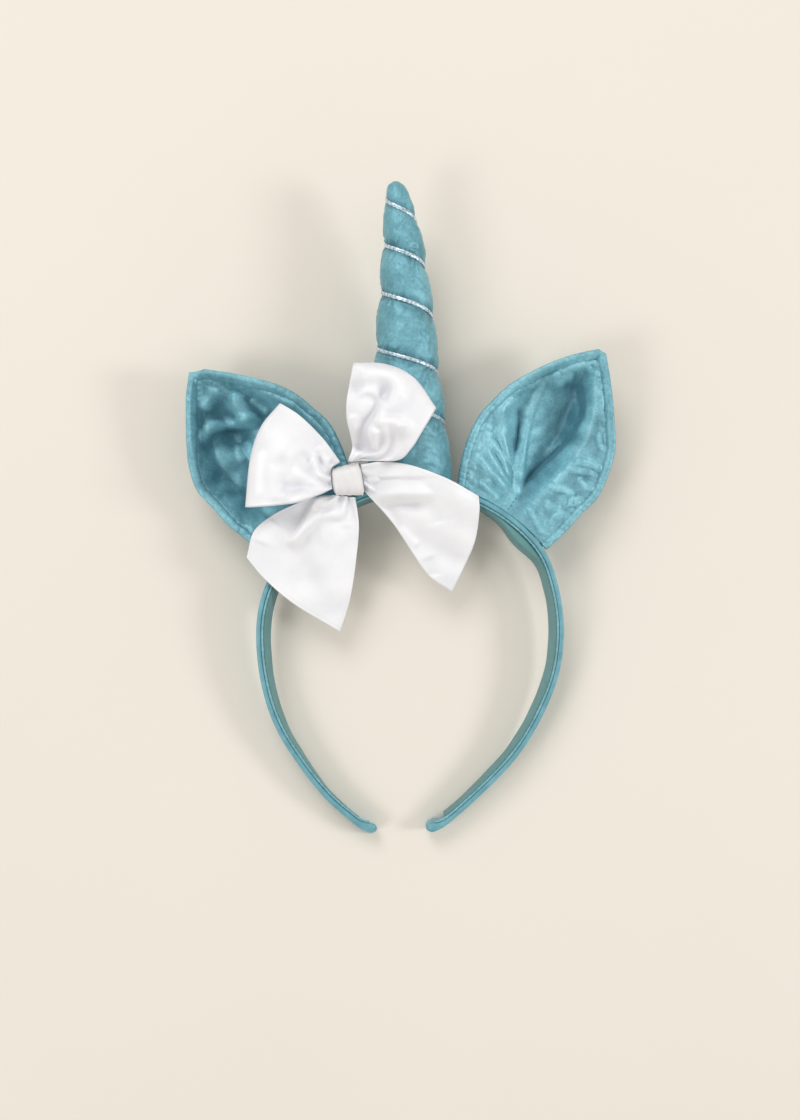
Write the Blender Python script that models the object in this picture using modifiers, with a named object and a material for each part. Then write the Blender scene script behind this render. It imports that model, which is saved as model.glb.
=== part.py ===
# Unicorn horn headband lying on its back: flexible band, stuffed horn, two ears and a ribbon bow.
# All sizes are millimetres. +Y runs to the horn tip, +Z up from the table, +X to the right ear.
# Tables count from the band's outer edge at the middle of the crown, on the surface it lies on.

import math

import bpy
import numpy as np

MM = 0.001
FINE_POINTS = 1200
OBJECT_NAME = "unicorn_horn_headband"

# Band
BAND_THICKNESS = 3.2
BAND_DEPTH_CROWN = 16.0
BAND_DEPTH_TIP = 10.0
BAND_LENGTH_Y = 157.0
BAND_MID_HEIGHT_CROWN = 19.0
LYING_SLOPE = 0.089
EDGE_ROUNDING = 0.5
BAND_CENTRE_Y = -69.0
BAND_STATIONS = 60
CROWDING = 0.7
BAND_SECTION_POINTS = 10
SQUARENESS = 0.55

# Outer front edge of the band, from the left tip over the crown to the right tip: x, y
BAND_EDGE = (
    (-15.8, -160.4),
    (-23.0, -158.2),
    (-29.5, -153.3),
    (-39.5, -143.8),
    (-50.8, -128.6),
    (-61.2, -111.4),
    (-67.4, -92.9),
    (-69.9, -72.0),
    (-68.2, -54.0),
    (-60.5, -35.5),
    (-46.5, -18.8),
    (-29.0, -7.2),
    (-10.0, -1.0),
    (10.0, -0.6),
    (29.5, -5.4),
    (47.0, -15.4),
    (61.0, -30.0),
    (67.8, -48.0),
    (70.1, -67.0),
    (67.8, -87.0),
    (60.0, -107.0),
    (50.0, -123.5),
    (37.5, -137.5),
    (24.0, -150.3),
    (15.5, -157.0),
    (8.0, -159.4),
)
TIP_SWELL_LENGTH = 7.0
TIP_SWELL = 0.7
TIP_ROUNDING = 3.0
TIP_END_SHARE = 0.35

# Lean of the band's faces along the arms, in degrees, outwards at the front: place y, left arm, right arm
LEAN_ROWS = (
    (-165.0, -15.0, 2.0),
    (-150.0, -10.0, 4.0),
    (-130.0, -1.0, 7.0),
    (-105.0, 6.0, 9.0),
    (-75.0, 9.0, 10.0),
    (-50.0, 9.0, 9.0),
    (-20.0, 6.0, 6.0),
    (0.0, 3.0, 3.0),
)

# Lining of the band's inner face, with a soft lump behind each ear
GAP = 0.3
LINING_THICKNESS = 0.9
LINING_MARGIN = 1.2
LINING_STATIONS = 54
LINING_END_SHARE = 0.025
LINING_CORNER_UP = 0.6
LINING_CORNER_OUT = 0.3
LUMP_ANGLES = (math.radians(-50.0), math.radians(49.0))
LUMP_SPREAD = math.radians(10.0)
LUMP_HEIGHT = 3.4

# Horn: distance from the crown, sideways position of the axis, radius
HORN_ROWS = (
    (1.6, -0.2, 17.6),
    (3.0, -0.2, 19.2),
    (7.0, -0.2, 19.5),
    (15.8, -0.2, 18.1),
    (29.3, -0.4, 16.8),
    (42.7, -1.1, 15.7),
    (56.1, -1.6, 14.6),
    (69.4, -1.8, 13.7),
    (82.7, -1.8, 12.2),
    (95.9, -2.7, 10.6),
    (109.1, -3.1, 9.1),
    (116.9, -4.1, 7.9),
    (124.0, -5.0, 6.6),
    (129.5, -5.8, 5.2),
    (132.8, -6.2, 3.7),
    (134.4, -6.3, 1.6),
)
HORN_STATIONS = 76
HORN_SIDES = 20
HORN_CROWDING = 0.03
HORN_BASE_BLEND = 26.0
CROWN_ARC_RADIUS = 71.0

# Where the winding crosses the middle of the horn's front: turns, distance from the crown
WINDING_ROWS = (
    (-1.0, 143.0),
    (0.0, 121.8),
    (1.0, 102.1),
    (2.0, 80.5),
    (3.0, 55.2),
    (4.0, 33.0),
    (5.0, 10.5),
    (6.0, -12.0),
)
WINDING_START = -0.52
WINDING_END = 4.58
WINDING_PITCH = 22.0
GROOVE_DEPTH = 1.3
GROOVE_WIDTH = 2.6
GROOVE_FADE = 0.12
GROOVE_FULL_RADIUS = 9.0
GROOVE_LEAST_SHARE = 0.4
CORD_RADIUS = 0.65
CORD_STEPS_PER_TURN = 16
CORD_BEVEL_RESOLUTION = 2
CORD_LIFT = 0.55

# Ears
EAR_THICKNESS = 2.2
EAR_ROWS = 20
EAR_COLUMNS = 15
EAR_BASE_GAP = 0.0
EAR_RIM_SHARE = 0.55
EAR_BASE_POINTS = 9
EAR_FLOOR_PLACE = 0.72
EAR_SHOULDER_PLACE = 0.3
EAR_FOLD_FADES = (6.0, 5.0)

# Edge points from base to tip: inner edge x, y, outer edge x, y
RIGHT_EAR_OUTLINE = (
    (21.3, -1.4, 61.6, -29.3),
    (23.6, 11.3, 69.8, -21.8),
    (26.6, 21.2, 77.2, -13.5),
    (31.2, 30.6, 85.0, -5.5),
    (38.1, 38.4, 89.5, 4.5),
    (45.9, 45.3, 92.3, 15.2),
    (55.0, 50.4, 91.9, 26.2),
    (64.5, 54.8, 91.0, 37.2),
    (74.4, 58.1, 89.6, 48.2),
    (84.8, 60.4, 87.8, 58.6),
)
LEFT_EAR_OUTLINE = (
    (-21.7, -3.4, -64.0, -34.0),
    (-27.7, 8.4, -72.7, -25.8),
    (-31.6, 18.2, -81.3, -19.1),
    (-36.4, 27.4, -88.7, -11.0),
    (-44.0, 34.6, -96.1, -2.8),
    (-52.3, 41.1, -99.6, 7.1),
    (-61.8, 45.2, -100.6, 18.1),
    (-72.0, 47.8, -100.7, 29.0),
    (-82.3, 49.9, -100.4, 40.0),
    (-92.9, 51.3, -99.0, 50.2),
)

# Relief of an ear from base to tip: share of length, then the places of the inner and outer crease
# as shares of the width, then heights at the inner rim, inner crease, floor, outer crease, outer rim
RIGHT_EAR_RELIEF = (
    (0.00, 0.42, 0.60, 22.0, 20.5, 19.5, 20.5, 21.0),
    (0.12, 0.50, 0.57, 22.5, 14.0, 13.0, 17.5, 21.0),
    (0.22, 0.46, 0.58, 22.5, 9.5, 7.0, 17.0, 21.0),
    (0.34, 0.37, 0.61, 23.0, 7.5, 2.6, 17.5, 21.5),
    (0.55, 0.22, 0.67, 24.5, 13.0, 1.95, 20.0, 23.5),
    (0.74, 0.12, 0.66, 26.0, 21.5, 9.0, 23.5, 25.5),
    (0.86, 0.20, 0.55, 26.5, 24.0, 19.0, 24.5, 26.0),
    (1.00, 0.30, 0.60, 26.0, 26.0, 25.5, 26.0, 26.0),
)
LEFT_EAR_RELIEF = (
    (0.00, 0.40, 0.60, 21.0, 20.0, 19.5, 20.0, 20.5),
    (0.12, 0.42, 0.60, 21.5, 15.0, 13.5, 15.0, 20.5),
    (0.25, 0.38, 0.62, 22.0, 9.0, 6.0, 9.0, 20.5),
    (0.38, 0.34, 0.66, 22.5, 6.4, 2.6, 6.8, 20.5),
    (0.58, 0.32, 0.68, 24.0, 7.6, 1.45, 8.6, 21.5),
    (0.76, 0.30, 0.70, 25.5, 13.0, 9.5, 13.5, 24.0),
    (0.90, 0.30, 0.70, 26.0, 21.0, 19.0, 21.0, 25.5),
    (1.00, 0.30, 0.70, 26.0, 25.8, 25.5, 25.8, 26.0),
)

# Raised folds of the left ear: start x, y, end x, y, half width, height
LEFT_EAR_FOLDS = (
    (-66.0, 18.0, -79.0, 38.0, 6.0, 3.6),
    (-66.0, 16.0, -91.0, 12.0, 6.0, 3.4),
    (-64.0, 10.0, -82.0, 2.0, 5.0, 1.8),
)
RIGHT_EAR_FOLDS = (
    (41.0, 4.0, 45.5, 32.0, 3.5, 1.6),
    (34.0, 2.0, 36.0, 22.0, 3.0, 1.2),
    (61.0, -2.0, 80.0, 12.0, 5.0, 1.6),
)

# Ribbon bow
RIBBON_THICKNESS = 0.9
LOOP_STEPS = 9
LOOP_TURN_STEPS = 3
LOOP_COLUMNS = 11
LOOP_TURN_SHARE = 0.93
LOOP_FINE_ROWS = 101
LOOP_OPENING = 2.2
LOOP_PLEAT_HEIGHT = 1.1
LOOP_PLEAT_LENGTH = 0.7
BACK_PLEAT_SHARE = 0.4
TAIL_PLEAT_HEIGHT = 0.9
TAIL_PLEAT_LENGTH = 0.6
HORN_CLEARANCE = 2.0
HORN_BACK_Y = -4.0
PLEAT_WAVES = 2.0

# Plan outlines of the loops: first side and second side from the knot outwards, root, folded end
LEFT_LOOP_SIDE_A = ((-31.2, 9.7), (-38.7, 19.7), (-48.6, 29.4), (-57.7, 35.3))
LEFT_LOOP_SIDE_B = ((-34.6, -2.4), (-41.0, -5.3), (-49.0, -8.2), (-58.6, -9.6), (-73.0, -10.7))
LEFT_LOOP_ROOT = ((-31.2, 9.7), (-35.1, 5.9), (-34.6, -2.4))
LEFT_LOOP_FOLD = ((-57.7, 35.3), (-66.0, 25.0), (-70.6, 12.0), (-73.0, -10.7))
RIGHT_LOOP_SIDE_A = ((-27.4, 9.7), (-25.6, 16.2), (-27.6, 27.0), (-27.6, 35.0), (-24.6, 51.7))
RIGHT_LOOP_SIDE_B = ((-21.2, 10.0), (-6.0, 9.5), (0.4, 14.6), (6.3, 24.0), (11.2, 32.0))
RIGHT_LOOP_ROOT = ((-27.4, 9.7), (-21.2, 10.0))
RIGHT_LOOP_FOLD = ((-24.6, 51.7), (-11.0, 51.2), (1.5, 45.2), (11.2, 32.0))

# Heights of a loop from the knot to the folded end: share of length, front layer, back layer
LEFT_LOOP_HEIGHTS = (
    (0.00, 34.4, 30.0),
    (0.25, 38.0, 30.4),
    (0.60, 40.5, 29.2),
    (0.93, 38.0, 29.2),
    (1.00, 36.0, 31.0),
)
RIGHT_LOOP_HEIGHTS = (
    (0.00, 35.4, 30.8),
    (0.25, 41.5, 32.0),
    (0.60, 48.5, 36.5),
    (0.93, 49.0, 39.0),
    (1.00, 47.0, 41.0),
)

# Folds pressed into the front layer of the loops: start x, y, end x, y, half width, height
LEFT_LOOP_FOLDS = (
    (-38.0, -2.0, -54.0, -2.0, 3.2, -2.2),
    (-56.0, 9.0, -58.0, -9.0, 4.0, -1.6),
)
RIGHT_LOOP_FOLDS = (
    (-22.0, 16.0, -12.0, 36.0, 4.0, -3.6),
    (-13.0, 38.0, -24.0, 40.0, 3.6, -2.6),
    (-2.0, 24.0, -16.0, 22.0, 4.0, 2.2),
)

# Tails: two long sides from the knot outwards and the cut end between them, each with heights: x, y, z
TAIL_ROWS = 13
TAIL_COLUMNS = 10
RIGHT_TAIL_SIDE_A = (
    (-21.7, 8.2, 34.0),
    (-14.0, 9.0, 38.8),
    (-5.5, 8.6, 40.2),
    (4.0, 6.4, 40.6),
    (17.0, 1.6, 37.0),
    (30.6, -5.6, 31.4),
)
RIGHT_TAIL_SIDE_B = (
    (-19.9, -3.8, 28.2),
    (-8.1, -17.1, 26.8),
    (0.6, -30.0, 25.0),
    (8.6, -41.2, 20.0),
    (19.3, -48.7, 14.5),
)
RIGHT_TAIL_END = (
    (30.6, -5.6, 31.4),
    (31.0, -13.0, 29.4),
    (28.8, -27.5, 22.0),
    (19.3, -48.7, 14.5),
)
LEFT_TAIL_SIDE_A = (
    (-34.8, -5.0, 27.8),
    (-41.7, -5.9, 27.6),
    (-52.5, -9.4, 27.5),
    (-62.0, -14.2, 27.2),
    (-70.1, -21.4, 26.4),
    (-73.6, -33.0, 25.2),
)
LEFT_TAIL_SIDE_B = (
    (-24.6, -6.0, 27.9),
    (-23.0, -18.0, 26.0),
    (-24.0, -32.0, 24.6),
    (-27.0, -51.0, 18.6),
    (-31.9, -67.0, 14.0),
)
LEFT_TAIL_END = (
    (-73.6, -33.0, 25.2),
    (-65.5, -42.5, 25.4),
    (-52.0, -54.5, 20.0),
    (-31.9, -67.0, 14.0),
)

# Folds of the tails: start x, y, end x, y, half width, height
RIGHT_TAIL_FOLDS = (
    (-12.0, -6.0, 2.0, -10.0, 3.5, -1.4),
    (4.0, -24.0, 20.0, -34.0, 5.0, -1.2),
)
LEFT_TAIL_FOLDS = (
    (-34.0, -12.0, -54.0, -24.0, 4.0, 1.8),
    (-46.0, -36.0, -36.0, -56.0, 6.0, -1.4),
)

# Knot: share of the width, half height, half depth
KNOT_CENTRE = (-27.9, 1.5, 30.2)
KNOT_WIDTH = 12.6
KNOT_TURN = math.radians(8.0)
KNOT_ROWS = (
    (0.00, 4.2, 3.4),
    (0.07, 5.6, 4.9),
    (0.25, 6.4, 5.2),
    (0.50, 6.8, 5.3),
    (0.75, 7.2, 5.3),
    (0.93, 7.2, 5.1),
    (1.00, 5.8, 3.8),
)
KNOT_SIDES = 16
KNOT_SQUARENESS = 0.75

TEAL_SATIN = (0.13, 0.31, 0.36, 1.0)
TEAL_LINING = (0.15, 0.29, 0.30, 1.0)
WHITE_SATIN = (0.88, 0.88, 0.90, 1.0)
SILVER = (0.62, 0.66, 0.70, 1.0)


def clear_scene():
    for item in list(bpy.data.objects):
        bpy.data.objects.remove(item, do_unlink=True)


def make_material(name, colour, roughness, metallic):
    material = bpy.data.materials.new(name)
    material.use_nodes = True
    shader = material.node_tree.nodes["Principled BSDF"]
    shader.inputs["Base Color"].default_value = colour
    shader.inputs["Roughness"].default_value = roughness
    shader.inputs["Metallic"].default_value = metallic
    return material


def smooth_step(value):
    share = np.clip(value, 0.0, 1.0)
    return share * share * (3.0 - 2.0 * share)


# Smooth curve through the rows of a table

def curve_through(rows, share):
    points = np.array(rows, dtype=float)
    before = 2.0 * points[0] - points[1]
    after = 2.0 * points[-1] - points[-2]
    padded = np.vstack([before, points, after])
    place = np.clip(share, 0.0, 1.0) * (len(points) - 1)
    index = np.minimum(place.astype(int), len(points) - 2)
    part = (place - index)[:, None]
    p0 = padded[index]
    p1 = padded[index + 1]
    p2 = padded[index + 2]
    p3 = padded[index + 3]
    linear = (p2 - p0) * part
    square = (2.0 * p0 - 5.0 * p1 + 4.0 * p2 - p3) * part ** 2
    cubic = (3.0 * p1 - p0 - 3.0 * p2 + p3) * part ** 3
    return 0.5 * (2.0 * p1 + linear + square + cubic)


def even_curve(rows, count):
    fine = curve_through(rows, np.linspace(0.0, 1.0, FINE_POINTS))
    steps = np.linalg.norm(np.diff(fine, axis=0), axis=1)
    walked = np.concatenate([[0.0], np.cumsum(steps)])
    wanted = np.linspace(0.0, walked[-1], count)
    columns = [np.interp(wanted, walked, fine[:, axis]) for axis in range(fine.shape[1])]
    return np.stack(columns, axis=1)


# Column of a table read smoothly against its first column

def table_column(rows, column, where):
    table = np.array(rows, dtype=float)
    keys = table[:, 0]
    shares = np.interp(where, keys, np.linspace(0.0, 1.0, len(keys)))
    flat = np.ravel(shares)
    values = curve_through(table[:, column:column + 1], flat)[:, 0]
    return values.reshape(np.shape(shares))


def normals_along(path):
    forward = np.gradient(path[:, :2], axis=0)
    forward /= np.linalg.norm(forward, axis=1)[:, None]
    return np.stack([-forward[:, 1], forward[:, 0]], axis=1)


# Height that long soft folds add at a place in the plan

def fold_height(x, y, folds):
    height = np.zeros_like(x)
    for start_x, start_y, end_x, end_y, half_width, rise in folds:
        along_x = end_x - start_x
        along_y = end_y - start_y
        length_squared = along_x ** 2 + along_y ** 2
        share = ((x - start_x) * along_x + (y - start_y) * along_y) / length_squared
        inside = np.clip(share, 0.0, 1.0)
        off_x = x - start_x - inside * along_x
        off_y = y - start_y - inside * along_y
        distance = np.hypot(off_x, off_y)
        height += rise * np.exp(-(distance / half_width) ** 2)
    return height


# Plan patch between two sides, the root between their first points and the end curve

def patch_between(side_a, side_b, root, end, rows, columns):
    along = np.linspace(0.0, 1.0, rows)[:, None, None]
    across = np.linspace(0.0, 1.0, columns)[None, :, None]
    line_a = even_curve(side_a, rows)[:, None, :]
    line_b = even_curve(side_b, rows)[:, None, :]
    line_root = even_curve(root, columns)[None, :, :]
    line_end = even_curve(end, columns)[None, :, :]
    between_sides = (1.0 - across) * line_a + across * line_b
    between_ends = (1.0 - along) * line_root + along * line_end
    first = (1.0 - across) * line_a[:1] + across * line_b[:1]
    last = (1.0 - across) * line_a[-1:] + across * line_b[-1:]
    corners = (1.0 - along) * first + along * last
    return between_sides + between_ends - corners


def add_object(name, data, material):
    data.materials.append(material)
    item = bpy.data.objects.new(name, data)
    bpy.data.collections[OBJECT_NAME].objects.link(item)
    item.parent = bpy.data.objects[OBJECT_NAME]
    return item


def make_mesh(name, vertices, faces):
    mesh = bpy.data.meshes.new(name)
    mesh.from_pydata([tuple(float(value) * MM for value in row) for row in vertices], [], faces)
    mesh.shade_smooth()
    mesh.update()
    return mesh


# Closed loft through rings of equal point count, with a fan over each end

def add_loft(name, rings, material):
    ring_count, side_count, _ = rings.shape
    vertices = list(rings.reshape(-1, 3))
    faces = []
    for ring in range(ring_count - 1):
        for side in range(side_count):
            beside = (side + 1) % side_count
            here = ring * side_count
            there = here + side_count
            faces.append((here + side, here + beside, there + beside, there + side))
    for ring, turned in ((0, False), (ring_count - 1, True)):
        centre = len(vertices)
        vertices.append(rings[ring].mean(axis=0))
        for side in range(side_count):
            beside = (side + 1) % side_count
            edge = (ring * side_count + side, ring * side_count + beside)
            faces.append((edge[0], edge[1], centre) if turned else (edge[1], edge[0], centre))
    return add_object(name, make_mesh(name, vertices, faces), material)


# Sheet: an open grid thickened evenly to both sides, thinner along its rim where asked

def add_sheet(name, grid, thickness, rim_share, material):
    rows, columns, _ = grid.shape
    faces = []
    for row in range(rows - 1):
        for column in range(columns - 1):
            corner = row * columns + column
            faces.append((corner, corner + columns, corner + columns + 1, corner + 1))
    item = add_object(name, make_mesh(name, grid.reshape(-1, 3), faces), material)
    inner = item.vertex_groups.new(name="inner")
    for row in range(1, rows - 1):
        line = [row * columns + column for column in range(1, columns - 1)]
        inner.add(line, 1.0, "REPLACE")
    wall = item.modifiers.new("wall", "SOLIDIFY")
    wall.thickness = thickness * MM
    wall.offset = 0.0
    wall.vertex_group = inner.name
    wall.thickness_vertex_group = rim_share
    return item


def band_frame(count):
    share = np.linspace(0.0, 1.0, count)
    fine = even_curve(BAND_EDGE, FINE_POINTS)
    crowded = share - CROWDING * np.sin(2.0 * math.pi * share) / (2.0 * math.pi)
    edge = fine[(crowded * (len(fine) - 1)).round().astype(int)]
    outward = normals_along(edge)
    below = np.clip(-edge[:, 1] / BAND_LENGTH_Y, 0.0, 1.0)
    half_depth = 0.5 * (BAND_DEPTH_CROWN + (BAND_DEPTH_TIP - BAND_DEPTH_CROWN) * below)
    lean_left = table_column(LEAN_ROWS, 1, edge[:, 1])
    lean_right = table_column(LEAN_ROWS, 2, edge[:, 1])
    lean = np.radians(np.where(edge[:, 0] < 0.0, lean_left, lean_right))
    height = BAND_MID_HEIGHT_CROWN + LYING_SLOPE * edge[:, 1]
    inset = BAND_THICKNESS / 2.0 - EDGE_ROUNDING + half_depth * np.tan(np.maximum(lean, 0.0))
    middle = edge - outward * inset[:, None]
    steps = np.linalg.norm(np.diff(edge, axis=0), axis=1)
    walked = np.concatenate([[0.0], np.cumsum(steps)])
    return middle, outward, half_depth, lean, height, walked


# Rounding of the two tips: the section shrinks over the last few millimetres

def tip_share(walked):
    to_end = np.minimum(walked, walked[-1] - walked)
    part = np.clip(to_end / TIP_ROUNDING, 0.0, 1.0)
    return np.maximum(np.sqrt(1.0 - (1.0 - part) ** 2), TIP_END_SHARE)


def tip_swell(walked):
    to_end = np.minimum(walked, walked[-1] - walked)
    return 1.0 + TIP_SWELL * np.exp(-(to_end / TIP_SWELL_LENGTH) ** 2)


def ring_at(middle, outward, lean, height, offsets_out, offsets_up):
    x = middle[0] + outward[0] * (offsets_out + offsets_up * math.tan(lean))
    y = middle[1] + outward[1] * (offsets_out + offsets_up * math.tan(lean))
    z = height + offsets_up
    return np.stack([x, y, z], axis=1)


def add_headband(material):
    middle, outward, half_depth, lean, height, walked = band_frame(BAND_STATIONS)
    tips = tip_share(walked)
    swell = tip_swell(walked)
    angles = np.linspace(0.0, 2.0 * math.pi, BAND_SECTION_POINTS, endpoint=False)
    wide = np.sign(np.cos(angles)) * np.abs(np.cos(angles)) ** SQUARENESS
    tall = np.sign(np.sin(angles)) * np.abs(np.sin(angles)) ** SQUARENESS
    rings = []
    for station in range(BAND_STATIONS):
        half_thick = BAND_THICKNESS / 2.0 * tips[station] * swell[station]
        half_tall = half_depth[station] * (0.5 + 0.5 * tips[station])
        ring = ring_at(middle[station], outward[station], lean[station], height[station],
                       wide * half_thick, tall * half_tall)
        rings.append(ring)
    return add_loft("headband", np.array(rings), material)


def lump_share(middle):
    angle = np.arctan2(middle[:, 0], middle[:, 1] - BAND_CENTRE_Y)
    share = np.zeros(len(middle))
    for lump in LUMP_ANGLES:
        share += np.exp(-((angle - lump) / LUMP_SPREAD) ** 2)
    return share


def add_lining(material):
    middle, outward, half_depth, lean, height, walked = band_frame(BAND_STATIONS * 4)
    first = int(LINING_END_SHARE * len(middle))
    picks = np.linspace(first, len(middle) - 1 - first, LINING_STATIONS).round().astype(int)
    lumps = lump_share(middle)
    swell = tip_swell(walked)
    rings = []
    for pick in picks:
        outer = -(BAND_THICKNESS / 2.0 * swell[pick] + GAP)
        inner = outer - LINING_THICKNESS - LUMP_HEIGHT * lumps[pick]
        top = half_depth[pick] - LINING_MARGIN
        side = top - LINING_CORNER_UP
        corner = inner + LINING_CORNER_OUT
        offsets_out = np.array([outer, outer, corner, inner, inner, corner])
        offsets_up = np.array([-top, top, top, side, -side, -top])
        ring = ring_at(middle[pick], outward[pick], lean[pick], height[pick],
                       offsets_out, offsets_up)
        rings.append(ring)
    return add_loft("band_lining", np.array(rings), material)


def winding_turns(distance):
    rows = [(-y, turns) for turns, y in WINDING_ROWS]
    return table_column(rows, 1, -np.asarray(distance))


def winding_distance(turns):
    return table_column(WINDING_ROWS, 1, turns)


def horn_axis(distance):
    sideways = table_column(HORN_ROWS, 1, distance)
    height = BAND_MID_HEIGHT_CROWN + LYING_SLOPE * distance
    return sideways, height


# Radius of the horn at a distance and an angle counted from its front, with the pressed groove

def horn_radius(distance, angle):
    plain = table_column(HORN_ROWS, 2, distance)
    turns = winding_turns(distance) - angle / (2.0 * math.pi)
    nearest = np.round(turns)
    along = (turns - nearest) * WINDING_PITCH
    winding = nearest + angle / (2.0 * math.pi)
    present = smooth_step((winding - WINDING_START) / GROOVE_FADE + 0.5)
    present = present * smooth_step((WINDING_END - winding) / GROOVE_FADE + 0.5)
    thinning = np.clip(plain / GROOVE_FULL_RADIUS, GROOVE_LEAST_SHARE, 1.0)
    depth = GROOVE_DEPTH * thinning * present
    return plain - depth * np.exp(-(along / GROOVE_WIDTH) ** 2)


def horn_base_bend(distance, sideways):
    fade = smooth_step(1.0 - distance / HORN_BASE_BLEND)
    return -fade * sideways ** 2 / (2.0 * CROWN_ARC_RADIUS)


def add_horn(material):
    first = HORN_ROWS[0][0]
    last = HORN_ROWS[-1][0]
    share = np.linspace(0.0, 1.0, HORN_STATIONS)
    distances = first + (last - first) * (share - HORN_CROWDING * np.sin(2.0 * math.pi * share))
    angles = np.linspace(0.0, 2.0 * math.pi, HORN_SIDES, endpoint=False)
    rings = []
    for distance in distances:
        spread = np.full(HORN_SIDES, distance)
        signed = np.where(angles > math.pi, angles - 2.0 * math.pi, angles)
        radius = horn_radius(spread, signed)
        centre_x, centre_z = horn_axis(spread)
        x = centre_x + radius * np.sin(signed)
        z = centre_z + radius * np.cos(signed)
        y = spread + horn_base_bend(distance, radius * np.sin(signed))
        rings.append(np.stack([x, y, z], axis=1))
    return add_loft("horn", np.array(rings), material)


def add_horn_cord(material):
    count = int((WINDING_END - WINDING_START) * CORD_STEPS_PER_TURN)
    turns = np.linspace(WINDING_START, WINDING_END, count)
    distance = winding_distance(turns)
    angle = (turns - np.round(turns)) * 2.0 * math.pi
    radius = horn_radius(distance, angle) + CORD_LIFT + CORD_RADIUS
    centre_x, centre_z = horn_axis(distance)
    x = centre_x + radius * np.sin(angle)
    z = centre_z + radius * np.cos(angle)
    y = distance + horn_base_bend(distance, radius * np.sin(angle))
    curve = bpy.data.curves.new("horn_cord", "CURVE")
    curve.dimensions = "3D"
    curve.bevel_depth = CORD_RADIUS * MM
    curve.bevel_resolution = CORD_BEVEL_RESOLUTION
    curve.use_fill_caps = True
    spline = curve.splines.new("POLY")
    spline.points.add(count - 1)
    for step in range(count):
        spline.points[step].co = (x[step] * MM, y[step] * MM, z[step] * MM, 1.0)
        spline.points[step].radius = 1.0
    return add_object("horn_cord", curve, material)


# Cross profile of an ear: rim, inner crease, hollow floor, steep outer crease, rim

def ear_height(along, across, relief):
    crease_in = table_column(relief, 1, along)
    crease_out = table_column(relief, 2, along)
    rim_in = table_column(relief, 3, along)
    low_in = table_column(relief, 4, along)
    floor = table_column(relief, 5, along)
    high_out = table_column(relief, 6, along)
    rim_out = table_column(relief, 7, along)
    floor_place = crease_in + EAR_FLOOR_PLACE * (crease_out - crease_in)
    shoulder = crease_out + EAR_SHOULDER_PLACE * (1.0 - crease_out)
    first = smooth_step(across / crease_in)
    second = smooth_step((across - crease_in) / (floor_place - crease_in))
    third = smooth_step((across - floor_place) / (shoulder - floor_place))
    fourth = smooth_step((across - shoulder) / (1.0 - shoulder))
    height = rim_in + (low_in - rim_in) * first
    height = height + (floor - low_in) * second
    height = height + (high_out - floor) * third
    return height + (rim_out - high_out) * fourth


def band_edge_between(start, end, count):
    path = even_curve(BAND_EDGE, FINE_POINTS)
    outward = normals_along(path)
    near_start = int(np.argmin(np.hypot(path[:, 0] - start[0], path[:, 1] - start[1])))
    near_end = int(np.argmin(np.hypot(path[:, 0] - end[0], path[:, 1] - end[1])))
    picks = np.linspace(near_start, near_end, count).round().astype(int)
    line = path[picks] + outward[picks] * EAR_BASE_GAP
    share = np.linspace(0.0, 1.0, count)[:, None]
    line += (1.0 - share) ** 3 * (np.array(start) - line[0])
    line += share ** 3 * (np.array(end) - line[-1])
    return line


def add_ear(name, outline, relief, folds, material):
    table = np.array(outline)
    inner = table[:, 0:2]
    outer = table[:, 2:4]
    base = band_edge_between(inner[0], outer[0], EAR_BASE_POINTS)
    tip = np.array([inner[-1], (inner[-1] + outer[-1]) / 2.0, outer[-1]])
    plan = patch_between(inner, outer, base, tip, EAR_ROWS, EAR_COLUMNS)
    along = np.linspace(0.0, 1.0, EAR_ROWS)[:, None] * np.ones((1, EAR_COLUMNS))
    across = np.ones((EAR_ROWS, 1)) * np.linspace(0.0, 1.0, EAR_COLUMNS)[None, :]
    front = ear_height(along, across, relief)
    from_base = smooth_step(along * EAR_FOLD_FADES[0])
    from_tip = smooth_step((1.0 - along) * EAR_FOLD_FADES[1])
    inside = np.clip(np.sin(math.pi * across), 0.0, 1.0) * from_base * from_tip
    front += fold_height(plan[:, :, 0], plan[:, :, 1], folds) * np.sqrt(inside)
    grid = np.dstack([plan, front - EAR_THICKNESS / 2.0])
    return add_sheet(name, grid, EAR_THICKNESS, EAR_RIM_SHARE, material)


# Lowest height for a ribbon that clears the horn at a place in the plan, zero beside the horn

def above_horn(x, y):
    distance = np.clip(y, HORN_ROWS[0][0], HORN_ROWS[-1][0])
    centre_x, centre_z = horn_axis(distance)
    radius = table_column(HORN_ROWS, 2, distance) + HORN_CLEARANCE
    square = radius ** 2 - (x - centre_x) ** 2
    top = centre_z + np.sqrt(np.clip(square, 0.0, None))
    return np.where((square > 0.0) & (y > HORN_BACK_Y), top, 0.0)


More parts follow.
